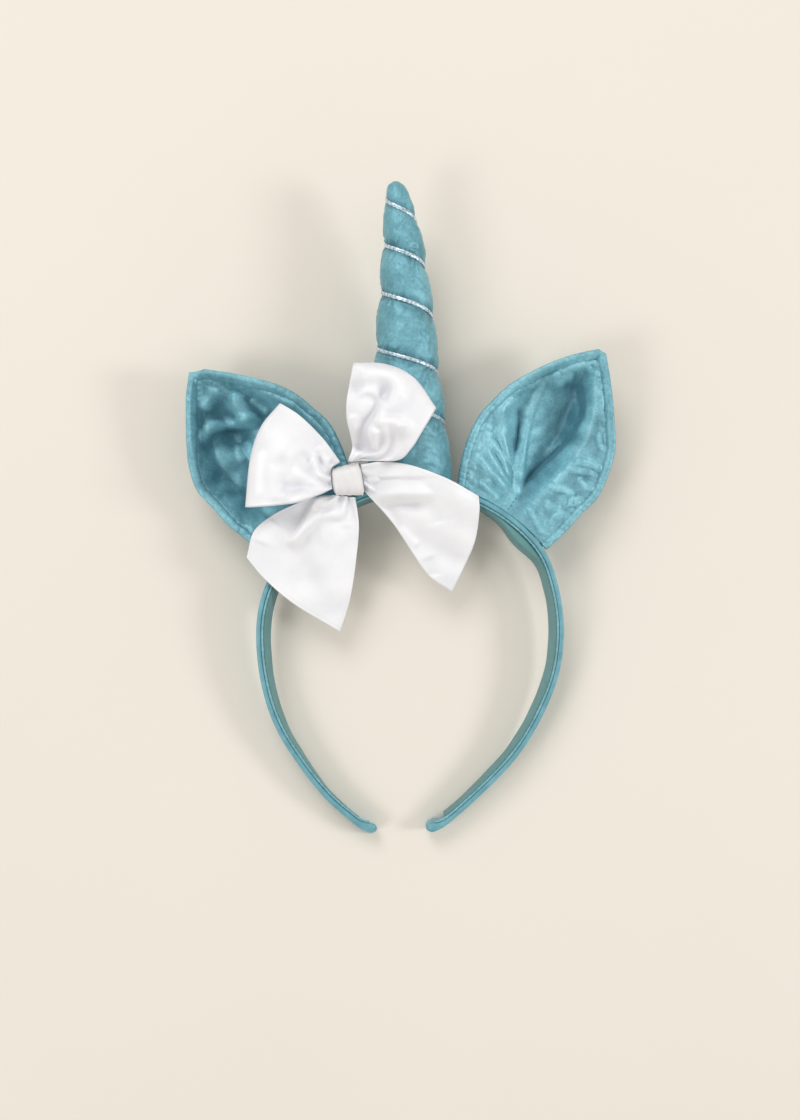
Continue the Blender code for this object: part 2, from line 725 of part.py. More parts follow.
def add_loop(name, side_a, side_b, root, fold, heights, folds, material):
    flat = np.linspace(0.0, LOOP_TURN_SHARE, LOOP_STEPS)
    turn = np.linspace(0.0, math.pi, LOOP_TURN_STEPS + 2)[1:-1]
    bend = LOOP_TURN_SHARE + (1.0 - LOOP_TURN_SHARE) * np.sin(turn)
    share = np.concatenate([flat, bend, flat[::-1]])
    facing = np.concatenate([np.ones(LOOP_STEPS), np.cos(turn), -np.ones(LOOP_STEPS)])
    plan = patch_between(side_a, side_b, root, fold, LOOP_FINE_ROWS, LOOP_COLUMNS)
    rows = (share * (LOOP_FINE_ROWS - 1)).round().astype(int)
    x = plan[rows, :, 0]
    y = plan[rows, :, 1]
    across = np.linspace(0.0, 1.0, LOOP_COLUMNS)[None, :]
    reach = np.minimum(share, LOOP_TURN_SHARE)
    front = table_column(heights, 1, reach)[:, None]
    back = table_column(heights, 2, reach)[:, None]
    fading = (1.0 - smooth_step(share / LOOP_PLEAT_LENGTH))[:, None]
    pleats = LOOP_PLEAT_HEIGHT * np.cos(2.0 * math.pi * PLEAT_WAVES * across) * fading
    upper = front + pleats + fold_height(x, y, folds)
    lower = back + BACK_PLEAT_SHARE * pleats
    lower = np.maximum(lower, above_horn(x, y))
    upper = np.maximum(upper, lower + LOOP_OPENING)
    middle = (upper + lower) / 2.0
    half = (upper - lower) / 2.0
    grid = np.dstack([x, y, middle + half * facing[:, None]])
    return add_sheet(name, grid, RIBBON_THICKNESS, 1.0, material)


def add_tail(name, side_a, side_b, end, folds, material):
    root = (side_a[0], side_b[0])
    grid = patch_between(side_a, side_b, root, end, TAIL_ROWS, TAIL_COLUMNS)
    along = np.linspace(0.0, 1.0, TAIL_ROWS)[:, None]
    across = np.linspace(0.0, 1.0, TAIL_COLUMNS)[None, :]
    fading = 1.0 - smooth_step(along / TAIL_PLEAT_LENGTH)
    pleats = TAIL_PLEAT_HEIGHT * np.cos(2.0 * math.pi * PLEAT_WAVES * across) * fading
    height = grid[:, :, 2] + pleats + fold_height(grid[:, :, 0], grid[:, :, 1], folds)
    grid[:, :, 2] = np.maximum(height, above_horn(grid[:, :, 0], grid[:, :, 1]))
    return add_sheet(name, grid, RIBBON_THICKNESS, 1.0, material)


def add_knot(material):
    angles = np.linspace(0.0, 2.0 * math.pi, KNOT_SIDES, endpoint=False)
    tall = np.sign(np.cos(angles)) * np.abs(np.cos(angles)) ** KNOT_SQUARENESS
    deep = np.sign(np.sin(angles)) * np.abs(np.sin(angles)) ** KNOT_SQUARENESS
    rings = []
    for share, half_height, half_depth in KNOT_ROWS:
        along = (share - 0.5) * KNOT_WIDTH
        x = KNOT_CENTRE[0] + along * math.cos(KNOT_TURN) - tall * half_height * math.sin(KNOT_TURN)
        y = KNOT_CENTRE[1] + along * math.sin(KNOT_TURN) + tall * half_height * math.cos(KNOT_TURN)
        z = KNOT_CENTRE[2] + deep * half_depth
        rings.append(np.stack([x, y, z], axis=1))
    return add_loft("bow_knot", np.array(rings), material)


def add_all_pieces():
    teal = make_material("satin_teal", TEAL_SATIN, 0.38, 0.0)
    band = make_material("satin_band", TEAL_SATIN, 0.38, 0.0)
    lining = make_material("satin_lining", TEAL_LINING, 0.5, 0.0)
    white = make_material("satin_white", WHITE_SATIN, 0.35, 0.0)
    silver = make_material("silver_braid", SILVER, 0.3, 0.6)
    return [
        add_headband(band),
        add_lining(lining),
        add_horn(teal),
        add_horn_cord(silver),
        add_ear("ear_left", LEFT_EAR_OUTLINE, LEFT_EAR_RELIEF, LEFT_EAR_FOLDS, teal),
        add_ear("ear_right", RIGHT_EAR_OUTLINE, RIGHT_EAR_RELIEF, RIGHT_EAR_FOLDS, teal),
        add_knot(white),
        add_loop("bow_loop_left", LEFT_LOOP_SIDE_A, LEFT_LOOP_SIDE_B, LEFT_LOOP_ROOT, LEFT_LOOP_FOLD,
                 LEFT_LOOP_HEIGHTS, LEFT_LOOP_FOLDS, white),
        add_loop("bow_loop_right", RIGHT_LOOP_SIDE_A, RIGHT_LOOP_SIDE_B, RIGHT_LOOP_ROOT, RIGHT_LOOP_FOLD,
                 RIGHT_LOOP_HEIGHTS, RIGHT_LOOP_FOLDS, white),
        add_tail("bow_tail_left", LEFT_TAIL_SIDE_A, LEFT_TAIL_SIDE_B, LEFT_TAIL_END,
                 LEFT_TAIL_FOLDS, white),
        add_tail("bow_tail_right", RIGHT_TAIL_SIDE_A, RIGHT_TAIL_SIDE_B, RIGHT_TAIL_END,
                 RIGHT_TAIL_FOLDS, white),
    ]


# The parent empty moves so that the origin is the middle of the bottom of the whole object's box

def place_on_origin(origin, items):
    graph = bpy.context.evaluated_depsgraph_get()
    corners = []
    for item in items:
        solid = item.evaluated_get(graph).to_mesh()
        corners.extend(item.matrix_world @ vertex.co for vertex in solid.vertices)
        item.evaluated_get(graph).to_mesh_clear()
    corners = np.array(corners)
    low = corners.min(axis=0)
    high = corners.max(axis=0)
    origin.location = (-(low[0] + high[0]) / 2.0, -(low[1] + high[1]) / 2.0, -low[2])
    bpy.context.view_layer.update()


def make_headband():
    clear_scene()
    collection = bpy.data.collections.new(OBJECT_NAME)
    bpy.context.scene.collection.children.link(collection)
    origin = bpy.data.objects.new(OBJECT_NAME, None)
    collection.objects.link(origin)
    place_on_origin(origin, add_all_pieces())


make_headband()
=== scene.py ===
# Looks of the unicorn horn headband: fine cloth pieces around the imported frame, satin, ribbon,
# braid and stitching, on a pale table under soft studio light, seen from straight above.
# Sizes are millimetres. Tables count from the band's outer edge at the middle of the crown, and
# ORIGIN_SHIFT takes them to the object's own origin. Fine folds are placed by pixels of the photo.
import math

import bpy
import numpy as np
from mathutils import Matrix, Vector
from mathutils.kdtree import KDTree


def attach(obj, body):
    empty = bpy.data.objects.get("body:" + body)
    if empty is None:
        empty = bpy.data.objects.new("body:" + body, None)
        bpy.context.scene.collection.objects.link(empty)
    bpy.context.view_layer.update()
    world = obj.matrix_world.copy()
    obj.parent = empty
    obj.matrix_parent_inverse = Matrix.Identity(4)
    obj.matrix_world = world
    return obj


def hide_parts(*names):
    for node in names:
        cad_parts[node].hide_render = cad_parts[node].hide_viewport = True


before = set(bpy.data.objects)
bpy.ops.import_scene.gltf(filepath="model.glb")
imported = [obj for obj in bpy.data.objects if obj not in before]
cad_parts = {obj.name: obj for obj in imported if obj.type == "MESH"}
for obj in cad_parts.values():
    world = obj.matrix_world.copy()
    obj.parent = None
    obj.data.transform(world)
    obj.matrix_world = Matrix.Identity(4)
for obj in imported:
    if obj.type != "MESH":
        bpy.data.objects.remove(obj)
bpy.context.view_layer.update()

MM = 0.001
TURN = 2.0 * math.pi
FINE_POINTS = 1200
ORIGIN_SHIFT = np.array((4.303, 13.695, 0.177))

# Camera straight above the table, and the photo's frame
CAMERA_HEIGHT = 650.0
PHOTO_SIZE = (800.0, 1120.0)
PHOTO_SCALE = 0.4682
VIEW_CENTRE = (-4.487, -34.105)
SENSOR = 36.0

# Band
BAND_THICKNESS = 3.2
BAND_DEPTH_CROWN = 16.0
BAND_DEPTH_TIP = 10.0
BAND_LENGTH_Y = 157.0
BAND_MID_HEIGHT_CROWN = 19.0
LYING_SLOPE = 0.089
EDGE_ROUNDING = 0.5
BAND_CENTRE_Y = -69.0
LEAN_CHANGE_WIDTH = 8.0
SQUARENESS = 0.55

# Outer front edge of the band, from the left tip over the crown to the right tip: x, y
BAND_EDGE = (
    (-15.8, -160.4), (-23.0, -158.2), (-29.5, -153.3), (-39.5, -143.8), (-50.8, -128.6),
    (-61.2, -111.4), (-67.4, -92.9), (-69.9, -72.0), (-68.2, -54.0), (-60.5, -35.5), (-46.5, -18.8),
    (-29.0, -7.2), (-10.0, -1.0), (10.0, -0.6), (29.5, -5.4), (47.0, -15.4), (61.0, -30.0),
    (67.8, -48.0), (70.1, -67.0), (67.8, -87.0), (60.0, -107.0), (50.0, -123.5), (37.5, -137.5),
    (24.0, -150.3), (15.5, -157.0), (8.0, -159.4),
)
TIP_SWELL_LENGTH = 7.0
TIP_SWELL = 0.7
TIP_ROUNDING = 3.0
TIP_END_SHARE = 0.35

# Lean of the band's faces along the arms, in degrees, outwards at the front: place y, left arm, right arm
LEAN_ROWS = (
    (-165.0, -15.0, 2.0), (-150.0, -10.0, 4.0), (-130.0, -1.0, 7.0), (-105.0, 6.0, 9.0),
    (-75.0, 9.0, 10.0), (-50.0, 9.0, 9.0), (-20.0, 6.0, 6.0), (0.0, 3.0, 3.0),
)

# Lining of the band's inner face, with a soft lump behind each ear
LINING_END_SHARE = 0.025
LUMP_ANGLES = (math.radians(-50.0), math.radians(49.0))
LUMP_SPREAD = math.radians(10.0)
LUMP_HEIGHT = 3.4

# Horn: distance from the crown, sideways position of the axis, radius
HORN_ROWS = (
    (1.6, -0.2, 17.6), (3.0, -0.2, 19.2), (7.0, -0.2, 19.5), (15.8, -0.2, 18.1), (29.3, -0.4, 16.8),
    (42.7, -1.1, 15.7), (56.1, -1.6, 14.6), (69.4, -1.8, 13.7), (82.7, -1.8, 12.2),
    (95.9, -2.7, 10.6), (109.1, -3.1, 9.1), (116.9, -4.1, 7.9), (124.0, -5.0, 6.6),
    (129.5, -5.8, 5.2), (132.8, -6.2, 3.7), (134.4, -6.3, 1.6),
)
HORN_BASE_BLEND = 26.0
CROWN_ARC_RADIUS = 71.0

# Where the winding crosses the middle of the horn's front: turns, distance from the crown
WINDING_ROWS = (
    (-1.0, 143.0), (0.0, 121.8), (1.0, 102.1), (2.0, 80.5), (3.0, 55.2), (4.0, 33.0), (5.0, 10.5),
    (6.0, -12.0),
)
WINDING_START = -0.52
WINDING_END = 4.58
WINDING_PITCH = 22.0
GROOVE_FADE = 0.12
GROOVE_FULL_RADIUS = 9.0
GROOVE_LEAST_SHARE = 0.4

# Ears
EAR_THICKNESS = 2.2
EAR_BASE_POINTS = 9
EAR_FLOOR_PLACE = 0.72
EAR_SHOULDER_PLACE = 0.3
EAR_FOLD_FADES = (6.0, 5.0)

# Edge points from base to tip: inner edge x, y, outer edge x, y
RIGHT_EAR_OUTLINE = (
    (21.3, -1.4, 61.6, -29.3), (23.6, 11.3, 69.8, -21.8), (26.6, 21.2, 77.2, -13.5),
    (31.2, 30.6, 85.0, -5.5), (38.1, 38.4, 89.5, 4.5), (45.9, 45.3, 92.3, 15.2),
    (55.0, 50.4, 91.9, 26.2), (64.5, 54.8, 91.0, 37.2), (74.4, 58.1, 89.6, 48.2),
    (84.8, 60.4, 87.8, 58.6),
)
LEFT_EAR_OUTLINE = (
    (-21.7, -3.4, -64.0, -34.0), (-27.7, 8.4, -72.7, -25.8), (-31.6, 18.2, -81.3, -19.1),
    (-36.4, 27.4, -88.7, -11.0), (-44.0, 34.6, -96.1, -2.8), (-52.3, 41.1, -99.6, 7.1),
    (-61.8, 45.2, -100.6, 18.1), (-72.0, 47.8, -100.7, 29.0), (-82.3, 49.9, -100.4, 40.0),
    (-92.9, 51.3, -99.0, 50.2),
)

# Relief of an ear from base to tip: share of length, then the places of the inner and outer crease
# as shares of the width, then heights at the inner rim, inner crease, floor, outer crease, outer rim
RIGHT_EAR_RELIEF = (
    (0.00, 0.42, 0.60, 22.0, 20.5, 19.5, 20.5, 21.0),
    (0.12, 0.50, 0.57, 22.5, 14.0, 13.0, 17.5, 21.0),
    (0.22, 0.46, 0.58, 22.5, 9.5, 7.0, 17.0, 21.0),
    (0.34, 0.37, 0.61, 23.0, 8.0, 4.0, 17.5, 21.5),
    (0.55, 0.22, 0.67, 24.5, 14.0, 4.6, 20.0, 23.5),
    (0.74, 0.12, 0.66, 26.0, 21.5, 12.0, 23.5, 25.5),
    (0.86, 0.20, 0.55, 26.5, 24.0, 20.5, 24.5, 26.0),
    (1.00, 0.30, 0.60, 26.0, 26.0, 25.5, 26.0, 26.0),
)
LEFT_EAR_RELIEF = (
    (0.00, 0.40, 0.60, 21.0, 20.0, 19.5, 20.0, 20.5),
    (0.12, 0.42, 0.60, 21.5, 15.0, 13.5, 15.0, 20.5),
    (0.25, 0.38, 0.62, 22.0, 9.0, 6.0, 9.0, 20.5),
    (0.38, 0.34, 0.66, 22.5, 6.4, 2.6, 6.8, 20.5),
    (0.58, 0.32, 0.68, 24.0, 7.6, 1.45, 8.6, 21.5),
    (0.76, 0.30, 0.70, 25.5, 13.0, 9.5, 13.5, 24.0),
    (0.90, 0.30, 0.70, 26.0, 21.0, 19.0, 21.0, 25.5),
    (1.00, 0.30, 0.70, 26.0, 25.8, 25.5, 25.8, 26.0),
)

# Raised folds of the ears: start x, y, end x, y, half width, height
LEFT_EAR_FOLDS = (
    (-66.0, 18.0, -79.0, 38.0, 6.0, 3.6), (-66.0, 16.0, -91.0, 12.0, 6.0, 3.4),
    (-64.0, 10.0, -82.0, 2.0, 6.0, 1.0),
)
RIGHT_EAR_FOLDS = (
    (41.0, 4.0, 45.5, 32.0, 3.5, 1.6), (34.0, 2.0, 36.0, 22.0, 3.0, 1.2),
    (61.0, -2.0, 80.0, 12.0, 5.0, 1.6),
)

# Ribbon bow
LOOP_TURN_SHARE = 0.93
LOOP_OPENING = 2.2
LOOP_PLEAT_LENGTH = 0.7
BACK_PLEAT_SHARE = 0.4
TAIL_PLEAT_LENGTH = 0.6
HORN_CLEARANCE = 2.0
HORN_BACK_Y = -4.0
PLEAT_WAVES = 2.0

# Pleats of a loop and a tail: height, power of the fan's fading, wander and its wavelength
LOOP_PLEATS = (1.1, 2, 0.35, 22.0)
TAIL_PLEATS = (0.9, 3, 0.3, 24.0)

# Plan outlines of the loops: first side and second side from the knot outwards, root, folded end
LEFT_LOOP_SIDE_A = ((-31.2, 9.7), (-38.7, 19.7), (-48.6, 29.4), (-57.7, 35.3))
LEFT_LOOP_SIDE_B = ((-34.6, -2.4), (-41.0, -5.3), (-49.0, -8.2), (-58.6, -9.6), (-73.0, -10.7))
LEFT_LOOP_ROOT = ((-31.2, 9.7), (-35.1, 5.9), (-34.6, -2.4))
LEFT_LOOP_FOLD = ((-57.7, 35.3), (-66.0, 25.0), (-70.6, 12.0), (-73.0, -10.7))
RIGHT_LOOP_SIDE_A = ((-27.4, 9.7), (-25.6, 16.2), (-27.6, 27.0), (-27.6, 35.0), (-24.6, 51.7))
RIGHT_LOOP_SIDE_B = ((-21.2, 10.0), (-6.0, 9.5), (0.4, 14.6), (6.3, 24.0), (11.2, 32.0))
RIGHT_LOOP_ROOT = ((-27.4, 9.7), (-21.2, 10.0))
RIGHT_LOOP_FOLD = ((-24.6, 51.7), (-11.0, 51.2), (1.5, 45.2), (11.2, 32.0))

# Heights of a loop from the knot to the folded end: share of length, front layer, back layer
LEFT_LOOP_HEIGHTS = (
    (0.00, 34.4, 30.0), (0.25, 38.0, 30.4), (0.60, 40.5, 29.2), (0.93, 38.0, 29.2),
    (1.00, 36.0, 31.0),
)
RIGHT_LOOP_HEIGHTS = (
    (0.00, 35.4, 30.8), (0.25, 41.5, 32.0), (0.60, 48.5, 36.5), (0.93, 49.0, 39.0),
    (1.00, 47.0, 41.0),
)

# Folds pressed into the front layer of the loops: start x, y, end x, y, half width, height
LEFT_LOOP_FOLDS = (
    (-38.0, -2.0, -54.0, -2.0, 3.2, -2.2),
    (-56.0, 9.0, -58.0, -9.0, 4.0, -1.6),
)
RIGHT_LOOP_FOLDS = (
    (-22.0, 16.0, -12.0, 36.0, 4.0, -3.6), (-13.0, 38.0, -24.0, 40.0, 3.6, -2.6),
    (-2.0, 24.0, -16.0, 22.0, 4.0, 2.2),
)

# Tails: two long sides from the knot outwards and the cut end between them, each with heights: x, y, z
RIGHT_TAIL_SIDE_A = (
    (-21.7, 8.2, 34.0), (-14.0, 9.0, 38.8), (-5.5, 8.6, 40.2), (4.0, 6.4, 40.6), (17.0, 1.6, 37.0),
    (30.6, -5.6, 31.4),
)
RIGHT_TAIL_SIDE_B = (
    (-19.9, -3.8, 28.2), (-8.1, -17.1, 26.8), (0.6, -30.0, 25.0), (8.6, -41.2, 20.0),
    (19.3, -48.7, 14.5),
)
RIGHT_TAIL_END = (
    (30.6, -5.6, 31.4), (31.0, -13.0, 29.4), (28.8, -27.5, 22.0), (19.3, -48.7, 14.5),
)
LEFT_TAIL_SIDE_A = (
    (-34.8, -5.0, 27.8), (-41.7, -5.9, 27.6), (-52.5, -9.4, 27.5), (-62.0, -14.2, 27.2),
    (-70.1, -21.4, 26.4), (-73.6, -33.0, 25.2),
)
LEFT_TAIL_SIDE_B = (
    (-24.6, -6.0, 27.9), (-23.0, -18.0, 26.0), (-24.0, -32.0, 24.6), (-27.0, -51.0, 18.6),
    (-31.9, -67.0, 14.0),
)
LEFT_TAIL_END = (
    (-73.6, -33.0, 25.2), (-65.5, -42.5, 25.4), (-52.0, -54.5, 20.0), (-31.9, -67.0, 14.0),
)

# Folds of the tails: start x, y, end x, y, half width, height
RIGHT_TAIL_FOLDS = (
    (-12.0, -6.0, 2.0, -10.0, 3.5, -1.4),
    (4.0, -24.0, 20.0, -34.0, 5.0, -1.2),
)
LEFT_TAIL_FOLDS = (
    (-34.0, -12.0, -54.0, -24.0, 4.0, 1.8),
    (-46.0, -36.0, -36.0, -56.0, 6.0, -1.4),
)

# Knot: share of the width, half height, half depth
KNOT_CENTRE = (-27.9, 1.5, 30.2)
KNOT_WIDTH = 12.6
KNOT_TURN = math.radians(8.0)
KNOT_ROWS = (
    (0.00, 4.2, 3.4), (0.07, 5.6, 4.9), (0.25, 6.4, 5.2), (0.50, 6.8, 5.3), (0.75, 7.2, 5.3),
    (0.93, 7.2, 5.1), (1.00, 5.8, 3.8),
)
KNOT_SQUARENESS = 0.75

# Fine detail of the band and its lining
BAND_STATIONS = 640
BAND_SIDES = 36
BAND_PUCKER = 0.10
GATHER_LENGTH = 1.9
GATHER_SHARE = 0.6
GATHER_WANDER = 3.0
GATHER_WANDER_LENGTH = 11.0
RIPPLE_LENGTH = 5.3
RIPPLE_SHARE = 0.7
SEAM_RADIUS = 0.5
LINING_GAP = 0.25
LINING_THICKNESS = 0.9
LINING_MARGIN = 0.7
LINING_STATIONS = 520
LINING_SIDES = 28
SEAM_SIDES = 10
SEAM_END_SKIP = 6
SEAM_OUT = 0.15
SEAM_DROP = 0.1
SEAM_BEADS = 0.12
SEAM_BEAD_RATE = 2.2
LINING_SQUARENESS = 0.4
LINING_RIPPLE = 0.12
LINING_RIPPLE_LENGTHS = (3.1, 13.0)

# Fine detail of the horn and its braid
HORN_STATIONS = 520
HORN_SIDES = 128
HORN_MOTTLE = 0.13
HORN_PUCKER = 0.28
BRAID_SIDES = 14
BRAID_STEPS_PER_TURN = 360
BRAID_STRANDS = 4
BRAID_RELIEF = 0.10
BRAID_LAY = 2.4
PINCH_DEPTH = 1.15
PINCH_WIDTH = 4.2
FINE_GROOVE_DEPTH = 0.65
FINE_GROOVE_WIDTH = 1.3
CREASE_PITCH = 4.2
CREASE_REACH = 2.6
CREASE_SLANT = 0.7
CREASE_WANDER = 2.2
CREASE_BACK_FADE = 0.5
CREASE_STRENGTH_MOST = 1.2
CREASE_LEAST_SHARE = 0.2
HORN_CROWDING = 0.18
BRAID_LIFT = 0.5
BRAID_HALF_WIDTH = 0.88
BRAID_HALF_HEIGHT = 0.5

# Fine detail of the ears
EAR_GRID = (190, 170)
RIM_WIDTH = 2.9
RIM_HEIGHT = 0.55
RIM_GROOVE = 0.45
RIM_GROOVE_WIDTH = 0.42
STITCH_LENGTH = 1.5
STITCH_PITCH = 2.3
STITCH_RADIUS = 0.17
EAR_CROWDING = 0.45
EAR_EDGE_ROUNDING = 1.1
EAR_EDGE_SHARE = 0.3
EAR_LINE_HEIGHT = 18.0
EAR_LINE_GAIN = 1.35
EAR_LINE_SPREAD = 1.3
EAR_CRUMPLE = 0.06
EAR_CRUMPLE_SIZE = 13.0
EAR_CRUMPLE_MEAN = 0.3
EAR_SOFTNESS = 0.12
EAR_SOFTNESS_SIZE = 7.0
EAR_BASE_FADE = 14.0
RIM_GATHER = 0.12
RIM_GATHER_SIZE = 2.6
RIM_GATHER_SEED = 57
RIM_GATHER_REACH = 1.4
RIM_FADE_WIDTH = 2.0
STITCH_SIDES = 6
STITCH_RINGS = ((0.0, 0.5, -0.12), (0.15, 1.0, 0.05), (0.5, 1.0, 0.14), (0.85, 1.0, 0.05), (1.0, 0.5, -0.12))
STITCH_FIRST_ROW = 6
DART_ENDS = ((506, 512), (518.5, 495.5))
DART_HEIGHT = 16.0
DART_POINTS = 24
EAR_REST_SOFTNESS = 0.2

# Fine detail of the bow
RIBBON_THICKNESS = 0.5
LOOP_ROWS = 100
LOOP_TURN_ROWS = 22
LOOP_GRID_COLUMNS = 104
TAIL_GRID = (150, 120)
SELVEDGE_WIDTH = 1.1
SELVEDGE_RELIEF = 0.10
KNOT_GRID = (90, 96)
HORN_BACK_FADE = 9.0
BAND_TOP = 27.6
BAND_FALL = 1.2
SELVEDGE_SOFTNESS = 0.35
RIBBON_EDGE_ROUNDING = 0.5
RIBBON_EDGE_SHARE = 0.4
RIBBON_CROWDING = 0.35
RIBBON_SOFTNESS = 0.3
LOOP_SOFTNESS_SIZE = 16.0
TAIL_SOFTNESS_SIZE = 18.0
LOOP_QUIET_SHARE = 0.12
RIBBON_LINE_GAIN = 1.5
RIBBON_LINE_SPREAD = 1.4
RIBBON_SOFT_MEETING = 0.8
FAN_PLEAT_HEIGHT = 0.22
FAN_PLEAT_WAVES = 5.0
CUT_HEM_WIDTH = 1.3
CUT_HEM_SOFTNESS = 0.4
CUT_HEM_RELIEF = 0.12
KNOT_CROWDING = 0.3
KNOT_EDGE_HEIGHT = 0.45
KNOT_EDGE_PLACE = 0.9
KNOT_EDGE_WIDTH = 0.55
KNOT_CREASE = 0.09
KNOT_CREASE_PITCH = 3.6
KNOT_CREASE_WANDER = 0.25
KNOT_SLANT_SHARE = 0.8
KNOT_SLANT_WAVES = 3.0
KNOT_SLANT_TURN = 5.0
KNOT_SPREAD = 1.06

# Fine folds: photo pixels along the fold, half width on its left and right in mm, height in mm
RIGHT_EAR_LINES = (
    (((519.5, 495), (516.5, 478), (518, 456), (522, 437)), 1.1, 1.1, 0.9),
    (((521, 492), (522.5, 470), (526.5, 436), (533, 408), (540, 389), (549, 374.5)),
     2.2, 1.0, 1.1),
    (((549, 374.5), (556, 377.5), (559, 382), (566, 377.5), (575, 377)), 2.0, 1.2, 1.3),
    (((574, 376.5), (583, 385), (589, 402), (588, 419), (578, 438)), 2.6, 1.2, 1.2),
    (((578, 438), (564, 454), (545, 471), (528, 487), (519.5, 495)), 2.4, 1.0, 1.2),
    (((553, 367), (572, 365), (588, 378), (597, 400), (596, 426)), 3.2, 3.0, 1.0),
    (((585, 363), (591, 373), (600, 377.5)), 1.0, 0.9, 1.0),
    (((588, 361), (599, 368), (601.5, 376)), 0.9, 0.9, 0.8),
    (((509, 491), (497, 478), (485, 465.5), (475, 452)), 1.7, 1.4, 1.6),
    (((512, 487), (503, 474), (494, 461), (483, 444)), 1.1, 1.0, 1.2),
    (((513, 482), (505, 464), (497, 449), (489, 437)), 1.1, 1.0, 1.2),
    (((514, 474), (508, 452), (500, 434), (496, 424)), 1.5, 1.3, 1.0),
    (((511, 466), (506, 440), (502, 414), (500, 404)), 2.0, 1.4, 1.6),
    (((518.5, 402), (519.5, 425), (517, 458)), 1.4, 1.2, -1.5),
    (((579, 391), (583.5, 404), (582.5, 418), (573, 434)), 1.1, 1.1, -1.3),
    (((573, 434), (559, 450), (540, 467), (524, 484)), 1.0, 1.0, -1.5),
    (((499, 499), (488, 490), (477, 482)), 1.6, 1.4, 1.1),
    (((480, 430), (486.5, 426), (491.5, 431)), 0.9, 0.8, 0.9),
    (((497, 412), (508, 405.5), (516, 398)), 1.6, 1.3, 0.9),
    (((527, 388), (536, 381), (545, 372)), 1.8, 1.5, 0.8),
    (((545, 482), (554, 488), (565, 490), (574, 496)), 1.1, 0.9, 1.0),
    (((572, 461), (585, 464), (596, 467), (601, 473)), 1.2, 0.9, 1.1),
    (((562, 466), (577, 471), (590, 473), (598, 478)), 1.2, 0.9, 0.9),
    (((577, 476), (584, 485), (594, 490.5)), 1.0, 0.9, 1.0),
    (((569.5, 508), (572, 499), (579.5, 505)), 0.8, 0.8, 0.8),
    (((575, 497), (581.5, 500), (584, 506)), 0.8, 0.8, 0.8),
    (((527, 504), (536, 522), (542, 538)), 1.2, 1.0, 1.0),
    (((548, 526), (556, 515), (566, 512)), 1.4, 1.2, 0.7),
    (((545, 500), (552, 507), (563, 508)), 1.3, 1.2, 0.7),
    (((597, 433), (600, 446), (604, 452)), 0.9, 0.8, 0.8),
    (((604, 434), (606, 446), (604, 454)), 0.9, 0.8, 0.7),
)
LEFT_EAR_LINES = (
    (((216, 386), (209, 397), (202, 410)), 2.4, 2.0, 1.5),
    (((236, 388), (235, 400), (240, 413), (244, 424)), 3.0, 1.6, 2.6),
    (((249, 396), (257, 404), (268, 412)), 1.3, 1.3, 1.2),
    (((262, 417), (243, 420.5), (222, 423), (207, 428), (203.5, 438), (207, 449)),
     1.5, 2.2, 2.6),
    (((235, 441), (235, 450), (241, 460)), 1.6, 1.4, 0.8),
    (((241, 437), (246, 447), (252, 456)), 1.6, 1.4, 0.8),
    (((250, 391), (268, 392), (290, 402), (312, 419), (332, 440)), 2.2, 1.8, 1.0),
    (((286, 396), (293, 401), (297, 409)), 1.0, 0.9, 0.7),
    (((306, 411), (312, 419), (313, 428)), 1.0, 0.9, 0.7),
    (((215, 482), (228, 487), (243, 484)), 2.2, 1.8, 0.5),
    (((221, 498), (232, 501), (243, 497)), 1.8, 1.8, 0.4),
    (((246, 535), (256, 527), (268, 519)), 2.0, 1.8, 0.9),
)
LEFT_LOOP_LINES = (
    (((330, 476), (312, 480), (300, 476), (288, 470)), 2.4, 2.0, 1.3),
    (((331, 486), (312, 492), (294, 499), (284, 503)), 1.8, 1.6, 1.0),
    (((330, 470), (318, 466), (310, 458)), 1.7, 1.5, 1.0),
    (((331, 463), (322, 455), (316, 445)), 1.5, 1.4, 0.8),
    (((259, 446), (258.5, 470), (260, 500)), 2.0, 2.6, 0.9),
    (((276, 462), (275, 480), (274, 502)), 2.8, 2.6, 0.7),
)
RIGHT_LOOP_LINES = (
    (((350, 398), (360, 393), (370, 391), (378, 395), (382, 404), (379, 414),
      (371, 427), (370, 446)), 2.0, 1.3, 1.8),
    (((382, 410), (390, 402), (399, 392), (396, 380), (384, 373), (370, 375),
      (358, 382)), 2.2, 2.4, 1.5),
    (((374, 425), (384, 421.5), (396, 424), (404, 432)), 1.8, 1.4, 1.2),
    (((356, 446), (355, 430), (351, 412)), 1.5, 1.8, 0.8),
    (((377, 452), (374, 440), (376, 428)), 1.3, 1.3, 0.9),
)
LEFT_TAIL_LINES = (
    (((332, 495), (318, 501), (310, 513), (301, 531), (291, 541), (282, 540)),
     1.8, 1.1, 1.7),
    (((334, 501), (320, 510), (309, 527), (297, 543), (287, 547)), 1.2, 1.6, 1.1),
    (((342, 497), (344, 512), (345, 530)), 2.2, 2.0, 0.7),
    (((276, 520), (268, 532), (262, 546)), 3.0, 3.0, 0.6),
)
RIGHT_TAIL_LINES = (
    (((413, 467), (404, 479), (392, 494)), 1.8, 3.0, 0.9),
    (((366, 486), (378, 492), (392, 500)), 1.8, 1.8, 0.6),
    (((398, 526), (408, 536), (419, 547)), 1.4, 1.4, 0.6),
    (((424, 500), (433, 512), (438, 526)), 3.0, 3.0, -0.5),
    (((428, 556), (432, 566), (434, 578)), 2.4, 2.4, -0.6),
    (((366, 479.5), (374, 480), (381, 480.5)), 0.9, 0.9, 0.7),
)

